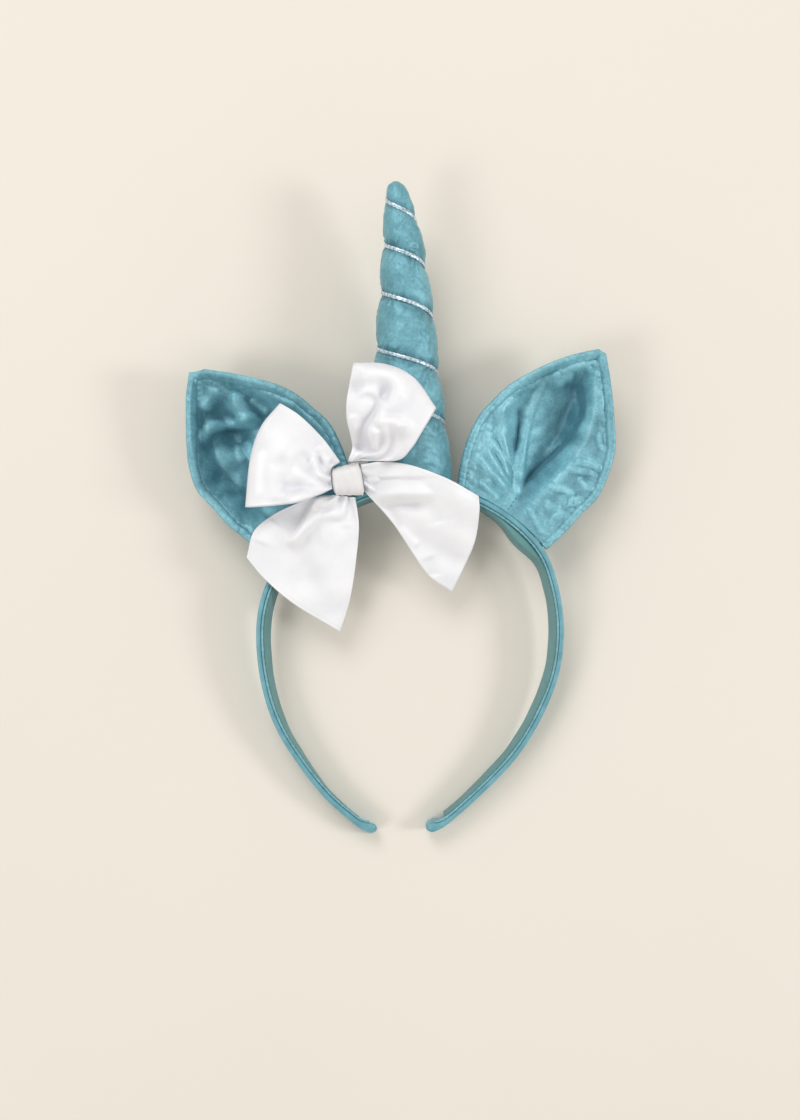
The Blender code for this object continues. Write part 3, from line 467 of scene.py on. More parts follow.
# Soft noise: number of waves and spread of their lengths, then size and seed of each use on the horn
NOISE_WAVES = 12
NOISE_SPREAD = (0.7, 1.6)
CRUMPLE_BEND = 0.25
CRUMPLE_RIDGE = 0.35
CREASE_WANDER_NOISE = (9.0, 31)
CREASE_STRENGTH_NOISE = (14.0, 37)
MOTTLE_NOISE = (6.5, 41)
MOTTLE_FINE_NOISE = (3.0, 43)

# First seed of each cloth piece, and the height at which the photo's lines are read on the bow
LEFT_EAR_SEED = 200
RIGHT_EAR_SEED = 300
LEFT_LOOP_SEED = 400
RIGHT_LOOP_SEED = 500
LEFT_TAIL_SEED = 600
RIGHT_TAIL_SEED = 700
LEFT_LOOP_LINE_HEIGHT = 40.0
RIGHT_LOOP_LINE_HEIGHT = 47.0
LEFT_TAIL_LINE_HEIGHT = 26.0
RIGHT_TAIL_LINE_HEIGHT = 34.0

# Colours
TEAL_DARK = (0.115, 0.320, 0.385)
TEAL_LIGHT = (0.165, 0.420, 0.495)
# Ear teal, set lighter so the crests keep a painted highlight, then the colour of the painted shade in the
# ears' fold valleys
EAR_DARK = (0.23, 0.52, 0.61)
EAR_LIGHT = (0.34, 0.70, 0.80)
EAR_PAINTED_SHADE = (0.40, 0.48, 0.52)
# Horn teal, set lighter, then the colour of the painted shade beside the braid and in the horn's creases
HORN_DARK = (0.125, 0.345, 0.42)
HORN_LIGHT = (0.225, 0.52, 0.61)
HORN_PAINTED_SHADE = (0.52, 0.60, 0.63)
TEAL_THREAD = (0.76, 0.82, 0.84)
SATIN_GRAIN = (0.55, 0.66, 0.70)
# Seam teal, lighter than the band's satin: a painted highlight along the seam ridge
SEAM_PAINTED_HIGHLIGHT_DARK = (0.13, 0.34, 0.40)
SEAM_PAINTED_HIGHLIGHT = (0.22, 0.47, 0.54)
LINING_DARK = (0.110, 0.262, 0.268)
LINING_LIGHT = (0.135, 0.31, 0.318)
THREAD_DARK = (0.06, 0.19, 0.22)
THREAD_LIGHT = (0.10, 0.27, 0.31)
RIBBON_DARK = (0.86, 0.865, 0.90)
RIBBON_LIGHT = (0.915, 0.92, 0.95)
RIBBON_THREAD = (0.96, 0.96, 0.97)
# Colour of the painted shade in the ribbon's fold valleys
RIBBON_PAINTED_SHADE = (0.82, 0.82, 0.84)
# Knot white, darker than the same ribbon's white: painted shade on the knot
KNOT_PAINTED_SHADE_DARK = (0.74, 0.735, 0.74)
KNOT_PAINTED_SHADE_LIGHT = (0.80, 0.795, 0.80)
BRAID_SHADE = (0.26, 0.44, 0.50)
BRAID_MIDDLE = (0.56, 0.68, 0.78)
BRAID_BRIGHT = (0.76, 0.90, 0.94)
TABLE_DARK = (0.785, 0.735, 0.665)
TABLE_LIGHT = (0.805, 0.755, 0.685)
WHITE = (1.0, 1.0, 1.0)

# Cloth surfaces: scales are per metre, gloss is the least and most roughness
CLOTH_LOOK = dict(
    sheen=0.2, sheen_roughness=0.3, specular=0.6, anisotropic=0.4, metallic=0.0, cloud_bump=0.12,
    grain_scale=900.0, grain_share=0.3, thread_scale=300.0, thread_bump=0.25)
HORN_LOOK = dict(
    CLOTH_LOOK, grain_dark=SATIN_GRAIN, gloss=(0.43, 0.54), sheen_roughness=0.35, metallic=0.3,
    cloud_scale=80.0, grain_bump=0.3, grain_share=0.7, thread_stretch=(9.0, 1.0, 9.0))
EAR_LOOK = dict(
    HORN_LOOK, sheen_roughness=0.3, anisotropic=0.45, cloud_scale=90.0, grain_scale=1000.0,
    grain_bump=0.34, grain_share=0.75, thread_stretch=(7.0, 1.5, 4.0))
THREAD_LOOK = dict(EAR_LOOK, grain_dark=TEAL_THREAD, gloss=(0.4, 0.55), sheen=0.1)
BAND_LOOK = dict(
    CLOTH_LOOK, grain_dark=TEAL_THREAD, gloss=(0.30, 0.42), sheen=0.25, anisotropic=0.5,
    cloud_scale=160.0, cloud_bump=0.15, grain_bump=0.15, thread_scale=350.0, thread_bump=0.2,
    thread_stretch=(6.0, 6.0, 1.0))
SEAM_LOOK = dict(BAND_LOOK, gloss=(0.26, 0.36))
LINING_LOOK = dict(
    CLOTH_LOOK, grain_dark=TEAL_THREAD, gloss=(0.6, 0.75), sheen=0.1, sheen_roughness=0.6, specular=0.25,
    anisotropic=0.1, cloud_scale=90.0, cloud_bump=0.08, grain_scale=1100.0, grain_bump=0.2,
    grain_share=0.25, thread_scale=500.0, thread_bump=0.15, thread_stretch=(4.0, 4.0, 1.0))
RIBBON_LOOK = dict(
    CLOTH_LOOK, grain_dark=RIBBON_THREAD, gloss=(0.38, 0.5), sheen_roughness=0.35, specular=0.5,
    cloud_scale=60.0, cloud_bump=0.05, grain_bump=0.06, thread_scale=400.0, thread_bump=0.10,
    thread_stretch=(1.0, 8.0, 3.0))

# Node noises: detail and roughness, the part of a noise that is used, and depths of bumps in metres
CLOUD_NOISE = (5.0, 0.62)
GRAIN_NOISE = (3.0, 0.6)
FINE_DETAIL = 2.0
CLOUD_LOW = 0.36
CLOUD_HIGH = 0.64
NOISE_LOW = 0.3
NOISE_HIGH = 0.7
CLOUD_DEPTH = 0.0010
GRAIN_DEPTH = 0.0004
THREAD_DEPTH = 0.0002

# Braid and table: noise scales, roughness, and strength and depth of their bumps
# The braid's colour runs by the glint noise from shade to near white: painted glints and painted shade,
# mixed with the strands' random tone
BRAID_COLOURS = ((0.32, BRAID_SHADE), (0.5, BRAID_MIDDLE), (0.68, BRAID_BRIGHT))
BRAID_GLINT_SCALE = 900.0
BRAID_GLOSS = (0.24, 0.42)
BRAID_BUMP = (0.3, 0.0001)
TABLE_CLOUD_NOISE = (3.0, 4.0)
TABLE_GRAIN_SCALE = 600.0
TABLE_BUMP = (0.05, 0.0003)

# Studio lights: name, place and size in metres, power in watts
LIGHT_COLOUR = (0.99, 0.993, 1.0)
LIGHT_AIM = (0.0, 0.0, 0.02)
LIGHTS = (
    ("softbox_left", (-0.95, -0.55, 1.15), 0.60, 4.9),
    ("softbox_right", (1.30, -0.10, 0.85), 0.40, 7.2),
    ("softbox_above", (-0.40, 0.95, 1.10), 0.80, 7.4),
)
WORLD_COLOUR = (1.0, 0.965, 0.90, 1.0)
WORLD_STRENGTH = 0.60
TABLE_HALF = 6000.0

# Fine fold lines, and the painted shade kept for the fold valleys and beside the horn's braid, with the
# crests left lighter
LINE_POINTS = 15
PAINTED_SHADE_PASSES = 3
PAINTED_VALLEY_SHARE = 0.05
PAINTED_HIGHLIGHT_SHARE = 0.75
PAINTED_SHADE_REACH = 6
EAR_PAINTED_SHADE_DEPTH = 1.1
HORN_PAINTED_SHADE_WIDTH = 3.4
HORN_PAINTED_SHADE_SHARE = 0.85
HORN_PAINTED_SHADE_CREASE = 1.2
RIBBON_PAINTED_SHADE_DEPTH = 1.0
LINE_END_FADE = 5.0
FAR_AWAY = 1.0e9
SMALLEST = 1.0e-6


# Smooth rise from 0 to 1

def smooth_step(value):
    share = np.clip(value, 0.0, 1.0)
    return share * share * (3.0 - 2.0 * share)


def softer_maximum(first, second, softness):
    return (first + second + np.sqrt((first - second) ** 2 + softness ** 2)) / 2.0


# Bell curve: 1 in the middle, and near 0 two widths away

def bell(offset, width):
    return np.exp(-(offset / width) ** 2)


# Angles once round, evenly spread

def round_angles(count):
    return np.linspace(0.0, TURN, count, endpoint=False)


# Smooth curve through the rows of a table

def curve_through(rows, share):
    points = np.array(rows, dtype=float)
    before = 2.0 * points[0] - points[1]
    after = 2.0 * points[-1] - points[-2]
    padded = np.vstack([before, points, after])
    place = np.clip(share, 0.0, 1.0) * (len(points) - 1)
    index = np.minimum(place.astype(int), len(points) - 2)
    part = (place - index)[:, None]
    p0 = padded[index]
    p1 = padded[index + 1]
    p2 = padded[index + 2]
    p3 = padded[index + 3]
    linear = (p2 - p0) * part
    square = (2.0 * p0 - 5.0 * p1 + 4.0 * p2 - p3) * part ** 2
    cubic = (3.0 * p1 - p0 - 3.0 * p2 + p3) * part ** 3
    return 0.5 * (2.0 * p1 + linear + square + cubic)


# Length walked along a path, at each of its points

def walked_along(path):
    steps = np.linalg.norm(np.diff(path, axis=0), axis=1)
    return np.concatenate([[0.0], np.cumsum(steps)])


# Points of the curve through a table, at shares of its length

def curve_at(rows, shares):
    fine = curve_through(rows, np.linspace(0.0, 1.0, FINE_POINTS))
    walked = walked_along(fine)
    wanted = np.asarray(shares) * walked[-1]
    columns = [np.interp(wanted, walked, fine[:, axis]) for axis in range(fine.shape[1])]
    return np.stack(columns, axis=1)


def even_curve(rows, count):
    return curve_at(rows, np.linspace(0.0, 1.0, count))


# Column of a table read smoothly against its first column

def table_column(rows, column, where):
    table = np.array(rows, dtype=float)
    keys = table[:, 0]
    shares = np.interp(where, keys, np.linspace(0.0, 1.0, len(keys)))
    flat = np.ravel(shares)
    values = curve_through(table[:, column:column + 1], flat)[:, 0]
    return values.reshape(np.shape(shares))


def normals_along(path):
    forward = np.gradient(path[:, :2], axis=0)
    forward /= np.linalg.norm(forward, axis=1)[:, None]
    return np.stack([-forward[:, 1], forward[:, 0]], axis=1)


# Smooth random field that swings by about one, from waves in seeded directions

def soft_noise(coordinates, size, seed):
    random = np.random.default_rng(seed)
    total = np.zeros_like(coordinates[0])
    for _ in range(NOISE_WAVES):
        direction = random.normal(size=len(coordinates))
        direction /= np.linalg.norm(direction)
        wavelength = size * random.uniform(*NOISE_SPREAD)
        phase = random.uniform(0.0, TURN)
        place = sum(axis * part for axis, part in zip(coordinates, direction))
        total += np.sin(TURN * place / wavelength + phase)
    return total / math.sqrt(NOISE_WAVES / 2.0)


# Thin wandering ridges, as in crumpled satin: 1 on a ridge, 0 away from it

def crumple(x, y, size, seed):
    bent_x = x + CRUMPLE_BEND * size * soft_noise((x, y), size, seed)
    bent_y = y + CRUMPLE_BEND * size * soft_noise((x, y), size, seed + 1)
    field = soft_noise((bent_x, bent_y), size, seed + 2)
    return bell(field, CRUMPLE_RIDGE)


# Nearest place on a straight line in the plan: its share of the line, the distance, and the side of it

def to_segment(x, y, start, along):
    reach = (x - start[0]) * along[0] + (y - start[1]) * along[1]
    part = np.clip(reach / (along @ along), 0.0, 1.0)
    off_x = x - start[0] - part * along[0]
    off_y = y - start[1] - part * along[1]
    return part, np.hypot(off_x, off_y), along[0] * off_y - along[1] * off_x


# Height that long soft folds add at a place in the plan

def fold_height(x, y, folds):
    height = np.zeros_like(x)
    for start_x, start_y, end_x, end_y, half_width, rise in folds:
        along = np.array((end_x - start_x, end_y - start_y))
        _, distance, _ = to_segment(x, y, (start_x, start_y), along)
        height += rise * bell(distance, half_width)
    return height


# Place in the plan under a pixel of the photo, at a height above the table

def from_photo(place, height):
    reach = PHOTO_SCALE * (1.0 - height / CAMERA_HEIGHT)
    x = (place[0] - PHOTO_SIZE[0] / 2.0) * reach + VIEW_CENTRE[0]
    y = (PHOTO_SIZE[1] / 2.0 - place[1]) * reach + VIEW_CENTRE[1]
    return x, y


# Height that fine curved folds add, each with its own width on either side

def line_relief(x, y, lines, height, spread):
    relief = np.zeros_like(x)
    for places, left_width, right_width, rise in lines:
        path = even_curve([from_photo(place, height) for place in places], LINE_POINTS)
        nearest = np.full_like(x, FAR_AWAY)
        side = np.zeros_like(x)
        share = np.zeros_like(x)
        for step in range(LINE_POINTS - 1):
            part, distance, turned = to_segment(x, y, path[step], path[step + 1] - path[step])
            closer = distance < nearest
            nearest = np.where(closer, distance, nearest)
            side = np.where(closer, turned, side)
            share = np.where(closer, (step + part) / (LINE_POINTS - 1), share)
        width = spread * np.where(side > 0.0, left_width, right_width)
        ends = smooth_step(share * LINE_END_FADE) * smooth_step((1.0 - share) * LINE_END_FADE)
        relief += rise * ends * bell(nearest, width)
    return relief


# Plan patch between two sides, the root between their first points and the end curve

def patch_between(side_a, side_b, root, end, along, across):
    line_a = curve_at(side_a, along)[:, None, :]
    line_b = curve_at(side_b, along)[:, None, :]
    line_root = curve_at(root, across)[None, :, :]
    line_end = curve_at(end, across)[None, :, :]
    along = along[:, None, None]
    across = across[None, :, None]
    between_sides = (1.0 - across) * line_a + across * line_b
    between_ends = (1.0 - along) * line_root + along * line_end
    first_a, last_a = curve_at(side_a, (0.0, 1.0))
    first_b, last_b = curve_at(side_b, (0.0, 1.0))
    first = (1.0 - across) * first_a + across * first_b
    last = (1.0 - across) * last_a + across * last_b
    corners = (1.0 - along) * first + along * last
    return between_sides + between_ends - corners


# Shares from 0 to 1 that crowd towards both ends

def crowded_shares(count, crowding):
    share = np.linspace(0.0, 1.0, count)
    return share - crowding * np.sin(TURN * share) / TURN


def new_object(name, data):
    item = bpy.data.objects.new(name, data)
    bpy.context.scene.collection.objects.link(item)
    return item


# Piece made of points in millimetres: it rides on the body and stands for its CAD node

def add_piece(name, points, faces, material, node=None):
    mesh = bpy.data.meshes.new(name)
    placed = (np.asarray(points, dtype=float).reshape(-1, 3) + ORIGIN_SHIFT) * MM
    mesh.from_pydata(placed.tolist(), [], faces)
    mesh.shade_smooth()
    mesh.update()
    mesh.materials.append(material)
    piece = new_object(name, mesh)
    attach(piece, "root")
    if node:
        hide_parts(node)
    return piece


def tube_faces(ring_count, side_count, start=0):
    faces = []
    for ring in range(ring_count - 1):
        here = start + ring * side_count
        there = here + side_count
        for side in range(side_count):
            beside = (side + 1) % side_count
            faces.append((here + side, here + beside, there + beside, there + side))
    return faces


# Closed tube through rings, with a fan of faces over both ends

def add_tube(name, rings, material, node=None):
    ring_count, side_count, _ = rings.shape
    points = rings.reshape(-1, 3)
    faces = tube_faces(ring_count, side_count)
    ends = rings[[0, -1]].mean(axis=1)
    first_end = len(points)
    last_ring = (ring_count - 1) * side_count
    for side in range(side_count):
        beside = (side + 1) % side_count
        faces.append((beside, side, first_end))
        faces.append((last_ring + side, last_ring + beside, first_end + 1))
    return add_piece(name, np.vstack([points, ends]), faces, material, node)


def grid_normals(grid):
    down = np.gradient(grid, axis=0)
    over = np.gradient(grid, axis=1)
    normal = np.cross(over, down)
    length = np.linalg.norm(normal, axis=2, keepdims=True)
    return normal / np.maximum(length, 1.0e-9)


# Painted shade of the folds as a share: 0 in a valley, darkest, 1 on a crest, lightest, against the height
# averaged nearby

def painted_fold_shade(height, depth):
    average = height
    for _ in range(PAINTED_SHADE_PASSES):
        for axis in (0, 1):
            ends = [(PAINTED_SHADE_REACH, PAINTED_SHADE_REACH) if axis == side else (0, 0) for side in (0, 1)]
            wide = np.cumsum(np.pad(average, ends, mode="edge"), axis=axis)
            first = np.take(wide, range(0, height.shape[axis]), axis=axis)
            last = np.take(wide, range(2 * PAINTED_SHADE_REACH, 2 * PAINTED_SHADE_REACH + height.shape[axis]), axis=axis)
            average = (last - first) / (2.0 * PAINTED_SHADE_REACH)
    return np.clip(0.5 + (height - average) / (2.0 * depth), 0.0, 1.0)


# That share of painted shade is kept on the piece's points, where the satin reads it

def keep_painted_shade(piece, shade):
    layer = piece.data.attributes.new("painted_fold_shade", "FLOAT", "POINT")
    values = np.resize(shade.ravel(), len(piece.data.vertices))
    layer.data.foreach_set("value", values.astype(np.float32))


# Cloth shell: a middle grid with a wall to both sides of it, joined round its rim

def add_shell(name, grid, half_wall, material, node):
    rows, columns, _ = grid.shape
    normal = grid_normals(grid)
    front = grid + normal * half_wall[:, :, None]
    back = grid - normal * half_wall[:, :, None]
    points = np.vstack([front.reshape(-1, 3), back.reshape(-1, 3)])
    behind = rows * columns
    faces = []
    for row in range(rows - 1):
        for column in range(columns - 1):
            corner = row * columns + column
            quad = (corner, corner + 1, corner + columns + 1, corner + columns)
            faces.append(quad)
            faces.append(tuple(behind + index for index in reversed(quad)))
    rim = [column for column in range(columns)]
    rim += [row * columns + columns - 1 for row in range(1, rows)]
    rim += [(rows - 1) * columns + column for column in range(columns - 2, -1, -1)]
    rim += [row * columns for row in range(rows - 2, 0, -1)]
    for step, here in enumerate(rim):
        there = rim[(step + 1) % len(rim)]
        faces.append((there, here, here + behind, there + behind))
    return add_piece(name, points, faces, material, node)


# Stations along the band: middle of its wall, directions and sizes

def band_frame(count):
    edge = even_curve(BAND_EDGE, count)
    outward = normals_along(edge)
    below = np.clip(-edge[:, 1] / BAND_LENGTH_Y, 0.0, 1.0)
    half_depth = 0.5 * (BAND_DEPTH_CROWN + (BAND_DEPTH_TIP - BAND_DEPTH_CROWN) * below)
    lean_left = table_column(LEAN_ROWS, 1, edge[:, 1])
    lean_right = table_column(LEAN_ROWS, 2, edge[:, 1])
    right_share = smooth_step(edge[:, 0] / LEAN_CHANGE_WIDTH + 0.5)
    lean = np.radians(lean_left + (lean_right - lean_left) * right_share)
    inset = BAND_THICKNESS / 2.0 - EDGE_ROUNDING + half_depth * np.tan(np.maximum(lean, 0.0))
    walked = walked_along(edge)
    to_end = np.minimum(walked, walked[-1] - walked)
    tip_part = np.clip(to_end / TIP_ROUNDING, 0.0, 1.0)
    return {
        "middle": edge - outward * inset[:, None],
        "outward": outward,
        "half_depth": half_depth,
        "lean": lean,
        "height": BAND_MID_HEIGHT_CROWN + LYING_SLOPE * edge[:, 1],
        "walked": walked,
        "tip_share": np.maximum(np.sqrt(1.0 - (1.0 - tip_part) ** 2), TIP_END_SHARE),
        "half_thick": BAND_THICKNESS / 2.0 * (1.0 + TIP_SWELL * bell(to_end, TIP_SWELL_LENGTH)),
    }


def picked(band, picks):
    return {key: values[picks] for key, values in band.items()}


# Rings along the band: how far each of their points lies outwards and upwards

def band_rings(band, out, up):
    reach = out + up * np.tan(band["lean"])[:, None]
    x = band["middle"][:, :1] + band["outward"][:, :1] * reach
    y = band["middle"][:, 1:] + band["outward"][:, 1:] * reach
    return np.dstack([x, y, band["height"][:, None] + up])


def rounded(values, squareness):
    return np.sign(values) * np.abs(values) ** squareness


# Satin round the band: small gathers where it is glued round the edges

def add_band(material):
    band = band_frame(BAND_STATIONS)
    angles = round_angles(BAND_SIDES)
    walked = band["walked"][:, None]
    gather = np.sin(walked / GATHER_LENGTH + GATHER_WANDER * np.sin(walked / GATHER_WANDER_LENGTH) + angles)
    ripple = np.sin(walked / RIPPLE_LENGTH + 2.0 * angles)
    pucker = BAND_PUCKER * (GATHER_SHARE * gather + RIPPLE_SHARE * ripple) * np.abs(np.sin(angles))
    half_tall = band["half_depth"] * (0.5 + 0.5 * band["tip_share"])
    out = rounded(np.cos(angles), SQUARENESS) * (band["half_thick"] * band["tip_share"])[:, None]
    up = rounded(np.sin(angles), SQUARENESS) * (half_tall[:, None] + pucker)
    return add_tube("headband_satin", band_rings(band, out, up), material, "headband")


# Narrow piped seam along the front edge, between the satin and its lining

def add_band_seam(material):
    band = picked(band_frame(BAND_STATIONS), slice(SEAM_END_SKIP, -SEAM_END_SKIP))
    angles = round_angles(SEAM_SIDES)
    radius = SEAM_RADIUS * (1.0 + SEAM_BEADS * np.sin(band["walked"] * SEAM_BEAD_RATE))[:, None]
    out = -(band["half_thick"] + SEAM_OUT)[:, None] + radius * np.cos(angles)
    up = (band["half_depth"] - SEAM_DROP)[:, None] + radius * np.sin(angles)
    return add_tube("headband_seam", band_rings(band, out, up), material)


def lump_share(middle):
    angle = np.arctan2(middle[:, 0], middle[:, 1] - BAND_CENTRE_Y)
    return sum(bell(angle - lump, LUMP_SPREAD) for lump in LUMP_ANGLES)


def add_lining(material):
    band = band_frame(BAND_STATIONS * 2)
    first = int(LINING_END_SHARE * len(band["walked"]))
    last = len(band["walked"]) - 1 - first
    band = picked(band, np.linspace(first, last, LINING_STATIONS).round().astype(int))
    angles = round_angles(LINING_SIDES)
    wide = rounded(np.cos(angles), LINING_SQUARENESS)
    tall = rounded(np.sin(angles), LINING_SQUARENESS)
    outer = -(band["half_thick"] + LINING_GAP)
    inner = outer - LINING_THICKNESS - LUMP_HEIGHT * lump_share(band["middle"])
    ripple = LINING_RIPPLE
    for length in LINING_RIPPLE_LENGTHS:
        ripple = ripple * np.sin(band["walked"] / length)
    half_wide = ((outer - inner) / 2.0)[:, None] + ripple[:, None] * (wide < 0.0)
    out = ((outer + inner) / 2.0)[:, None] + wide * half_wide
    up = tall * (band["half_depth"] - LINING_MARGIN)[:, None]
    return add_tube("lining_strip", band_rings(band, out, up), material, "band_lining")


def winding_turns(distance):
    rows = [(-y, turns) for turns, y in WINDING_ROWS]
    return table_column(rows, 1, -np.asarray(distance))


def winding_distance(turns):
    return table_column(WINDING_ROWS, 1, turns)


def horn_axis(distance):
    sideways = table_column(HORN_ROWS, 1, distance)
    height = BAND_MID_HEIGHT_CROWN + LYING_SLOPE * distance
    return sideways, height


# How far a place on the horn lies from the nearest turn of the braid, and whether one is there

def braid_nearness(distance, angle):
    turns = winding_turns(distance) - angle / TURN
    nearest = np.round(turns)
    winding = nearest + angle / TURN
    present = smooth_step((winding - WINDING_START) / GROOVE_FADE + 0.5)
    present = present * smooth_step((WINDING_END - winding) / GROOVE_FADE + 0.5)
    return (turns - nearest) * WINDING_PITCH, present


# Radius of the stuffed horn: full between the turns, pinched in under the braid

def horn_radius(distance, angle):
    plain = table_column(HORN_ROWS, 2, distance)
    along, present = braid_nearness(distance, angle)
    thinning = np.clip(plain / GROOVE_FULL_RADIUS, GROOVE_LEAST_SHARE, 1.0)
    pinch = PINCH_DEPTH * bell(along, PINCH_WIDTH)
    groove = FINE_GROOVE_DEPTH * bell(along, FINE_GROOVE_WIDTH)
    return plain - (pinch + groove) * thinning * present


def horn_base_bend(distance, sideways):
    fade = smooth_step(1.0 - distance / HORN_BASE_BLEND)
    return -fade * sideways ** 2 / (2.0 * CROWN_ARC_RADIUS)


def horn_surface(distance, angle, lift):
    centre_x, centre_z = horn_axis(distance)
    radius = horn_radius(distance, angle) + lift
    sideways = radius * np.sin(angle)
    x = centre_x + sideways
    z = centre_z + radius * np.cos(angle)
    y = distance + horn_base_bend(distance, sideways)
    return x, y, z


# Small creases that run away from the braid, and the soft unevenness of the filling

def horn_creases(distance, angle):
    place = horn_surface(distance, angle, 0.0)
    x, _, z = place
    along, present = braid_nearness(distance, angle)
    walked = np.hypot(x, z - BAND_MID_HEIGHT_CROWN) * angle
    wander = CREASE_WANDER * soft_noise(place, *CREASE_WANDER_NOISE)
    wave = np.sin(TURN * (walked + CREASE_SLANT * along) / CREASE_PITCH + wander)
    away = np.abs(along) / CREASE_REACH
    beside = away * np.exp(1.0 - away) * present
    back_fade = smooth_step((math.pi - np.abs(angle)) / CREASE_BACK_FADE)
    strength = 0.5 + 0.5 * soft_noise(place, *CREASE_STRENGTH_NOISE)
    creases = HORN_PUCKER * wave * beside * back_fade * np.clip(strength, 0.0, CREASE_STRENGTH_MOST)
    uneven = soft_noise(place, *MOTTLE_NOISE) + 0.5 * soft_noise(place, *MOTTLE_FINE_NOISE)
    small = np.clip(table_column(HORN_ROWS, 2, distance) / GROOVE_FULL_RADIUS, CREASE_LEAST_SHARE, 1.0)
    return (creases + HORN_MOTTLE * uneven) * small


def add_horn(material):
    first = HORN_ROWS[0][0]
    last = HORN_ROWS[-1][0]
    share = crowded_shares(HORN_STATIONS, HORN_CROWDING)
    angles = round_angles(HORN_SIDES) - math.pi
    distances, angles = np.meshgrid(first + (last - first) * share, angles, indexing="ij")
    lift = horn_creases(distances, angles)
    x, y, z = horn_surface(distances, angles, lift)
    horn = add_tube("horn_stuffed", np.dstack([x, y, z]), material, "horn")
    # Painted shade: darker where the braid pinches the horn in and in its small creases
    along, present = braid_nearness(distances, angles)
    pinched = HORN_PAINTED_SHADE_SHARE * present * bell(along, HORN_PAINTED_SHADE_WIDTH)
    keep_painted_shade(horn, np.clip(1.0 - pinched + HORN_PAINTED_SHADE_CREASE * np.minimum(lift, 0.0), 0.0, 1.0))
    return horn


# Flat metallic braid laid in the groove: strands cross over and under all along it

def add_braid(material):
    count = int((WINDING_END - WINDING_START) * BRAID_STEPS_PER_TURN)
    turns = np.linspace(WINDING_START, WINDING_END, count)
    distance = winding_distance(turns)
    angle = (turns - np.round(turns)) * TURN
    path = np.stack(horn_surface(distance, angle, BRAID_LIFT), axis=1)
    higher = np.stack(horn_surface(distance, angle, BRAID_LIFT + 1.0), axis=1)
    forward = np.gradient(path, axis=0)
    step_length = np.linalg.norm(forward, axis=1)
    walked = np.cumsum(step_length)
    forward /= step_length[:, None]
    outward = higher - path
    sideways = np.cross(forward, outward)
    sideways /= np.linalg.norm(sideways, axis=1)[:, None]
    outward = np.cross(sideways, forward)
    sides = round_angles(BRAID_SIDES)
    lay = TURN * walked[:, None] / BRAID_LAY
    one_way = np.cos(BRAID_STRANDS * sides[None, :] / 2.0 + lay)
    other_way = np.cos(BRAID_STRANDS * sides[None, :] / 2.0 - lay)
    relief = 1.0 + BRAID_RELIEF * np.maximum(one_way, other_way)
    across = BRAID_HALF_WIDTH * relief * np.cos(sides)[None, :]
    up = BRAID_HALF_HEIGHT * relief * np.sin(sides)[None, :]
    rings = path[:, None, :] + sideways[:, None, :] * across[:, :, None]
    rings = rings + outward[:, None, :] * up[:, :, None]
    return add_tube("horn_braid", rings, material, "horn_cord")


# Cross profile of an ear: rim, inner crease, hollow floor, steep outer crease, rim

def ear_height(along, across, relief):
    crease_in, crease_out, *heights = [table_column(relief, column, along) for column in range(1, 8)]
    floor_place = crease_in + EAR_FLOOR_PLACE * (crease_out - crease_in)
    shoulder = crease_out + EAR_SHOULDER_PLACE * (1.0 - crease_out)
    places = (0.0, crease_in, floor_place, shoulder, 1.0)
    height = heights[0]
    for step in range(4):
        share = smooth_step((across - places[step]) / (places[step + 1] - places[step]))
        height = height + (heights[step + 1] - heights[step]) * share
    return height


# Points on the band's edge between two places, bent at both ends to reach those places

def band_edge_between(start, end, count):
    path = even_curve(BAND_EDGE, FINE_POINTS)
    first, last = [np.argmin(np.linalg.norm(path - place, axis=1)) for place in (start, end)]
    line = path[np.linspace(first, last, count).round().astype(int)]
    share = np.linspace(0.0, 1.0, count)[:, None]
    line += (1.0 - share) ** 3 * (start - line[0])
    line += share ** 3 * (end - line[-1])
    return line


# Distance in the plan from each grid point to the ear's sewn edge, its base left out

def distance_to_rim(plan):
    sewn = np.vstack([plan[:, 0], plan[-1, :], plan[::-1, -1]])
    tree = KDTree(len(sewn))
    for index, point in enumerate(sewn):
        tree.insert((point[0], point[1], 0.0), index)
    tree.balance()
    flat = plan.reshape(-1, 2)
    found = [tree.find((point[0], point[1], 0.0))[2] for point in flat]
    return np.array(found).reshape(plan.shape[:2])


# Rolled and topstitched rim: a roll along the edge and a stitched groove beside it

def rim_relief(plan, distance):
    middle = RIM_WIDTH / 2.0
    roll = np.sqrt(np.clip(1.0 - ((distance - middle) / middle) ** 2, 0.0, 1.0))
    groove = bell(distance - RIM_WIDTH, RIM_GROOVE_WIDTH)
    gathers = soft_noise((plan[:, :, 0], plan[:, :, 1]), RIM_GATHER_SIZE, RIM_GATHER_SEED)
    near = bell(distance - RIM_WIDTH, RIM_GATHER_REACH * RIM_WIDTH)
    return RIM_HEIGHT * roll - RIM_GROOVE * groove + RIM_GATHER * gathers * near


# Half of a cloth's wall, thinner at its edge, where it is rounded off

def rounded_wall(distance, thickness, rounding, edge_share):
    edge = 1.0 - np.clip(distance / rounding, 0.0, 1.0)
    return thickness / 2.0 * (edge_share + (1.0 - edge_share) * np.sqrt(1.0 - edge ** 2))


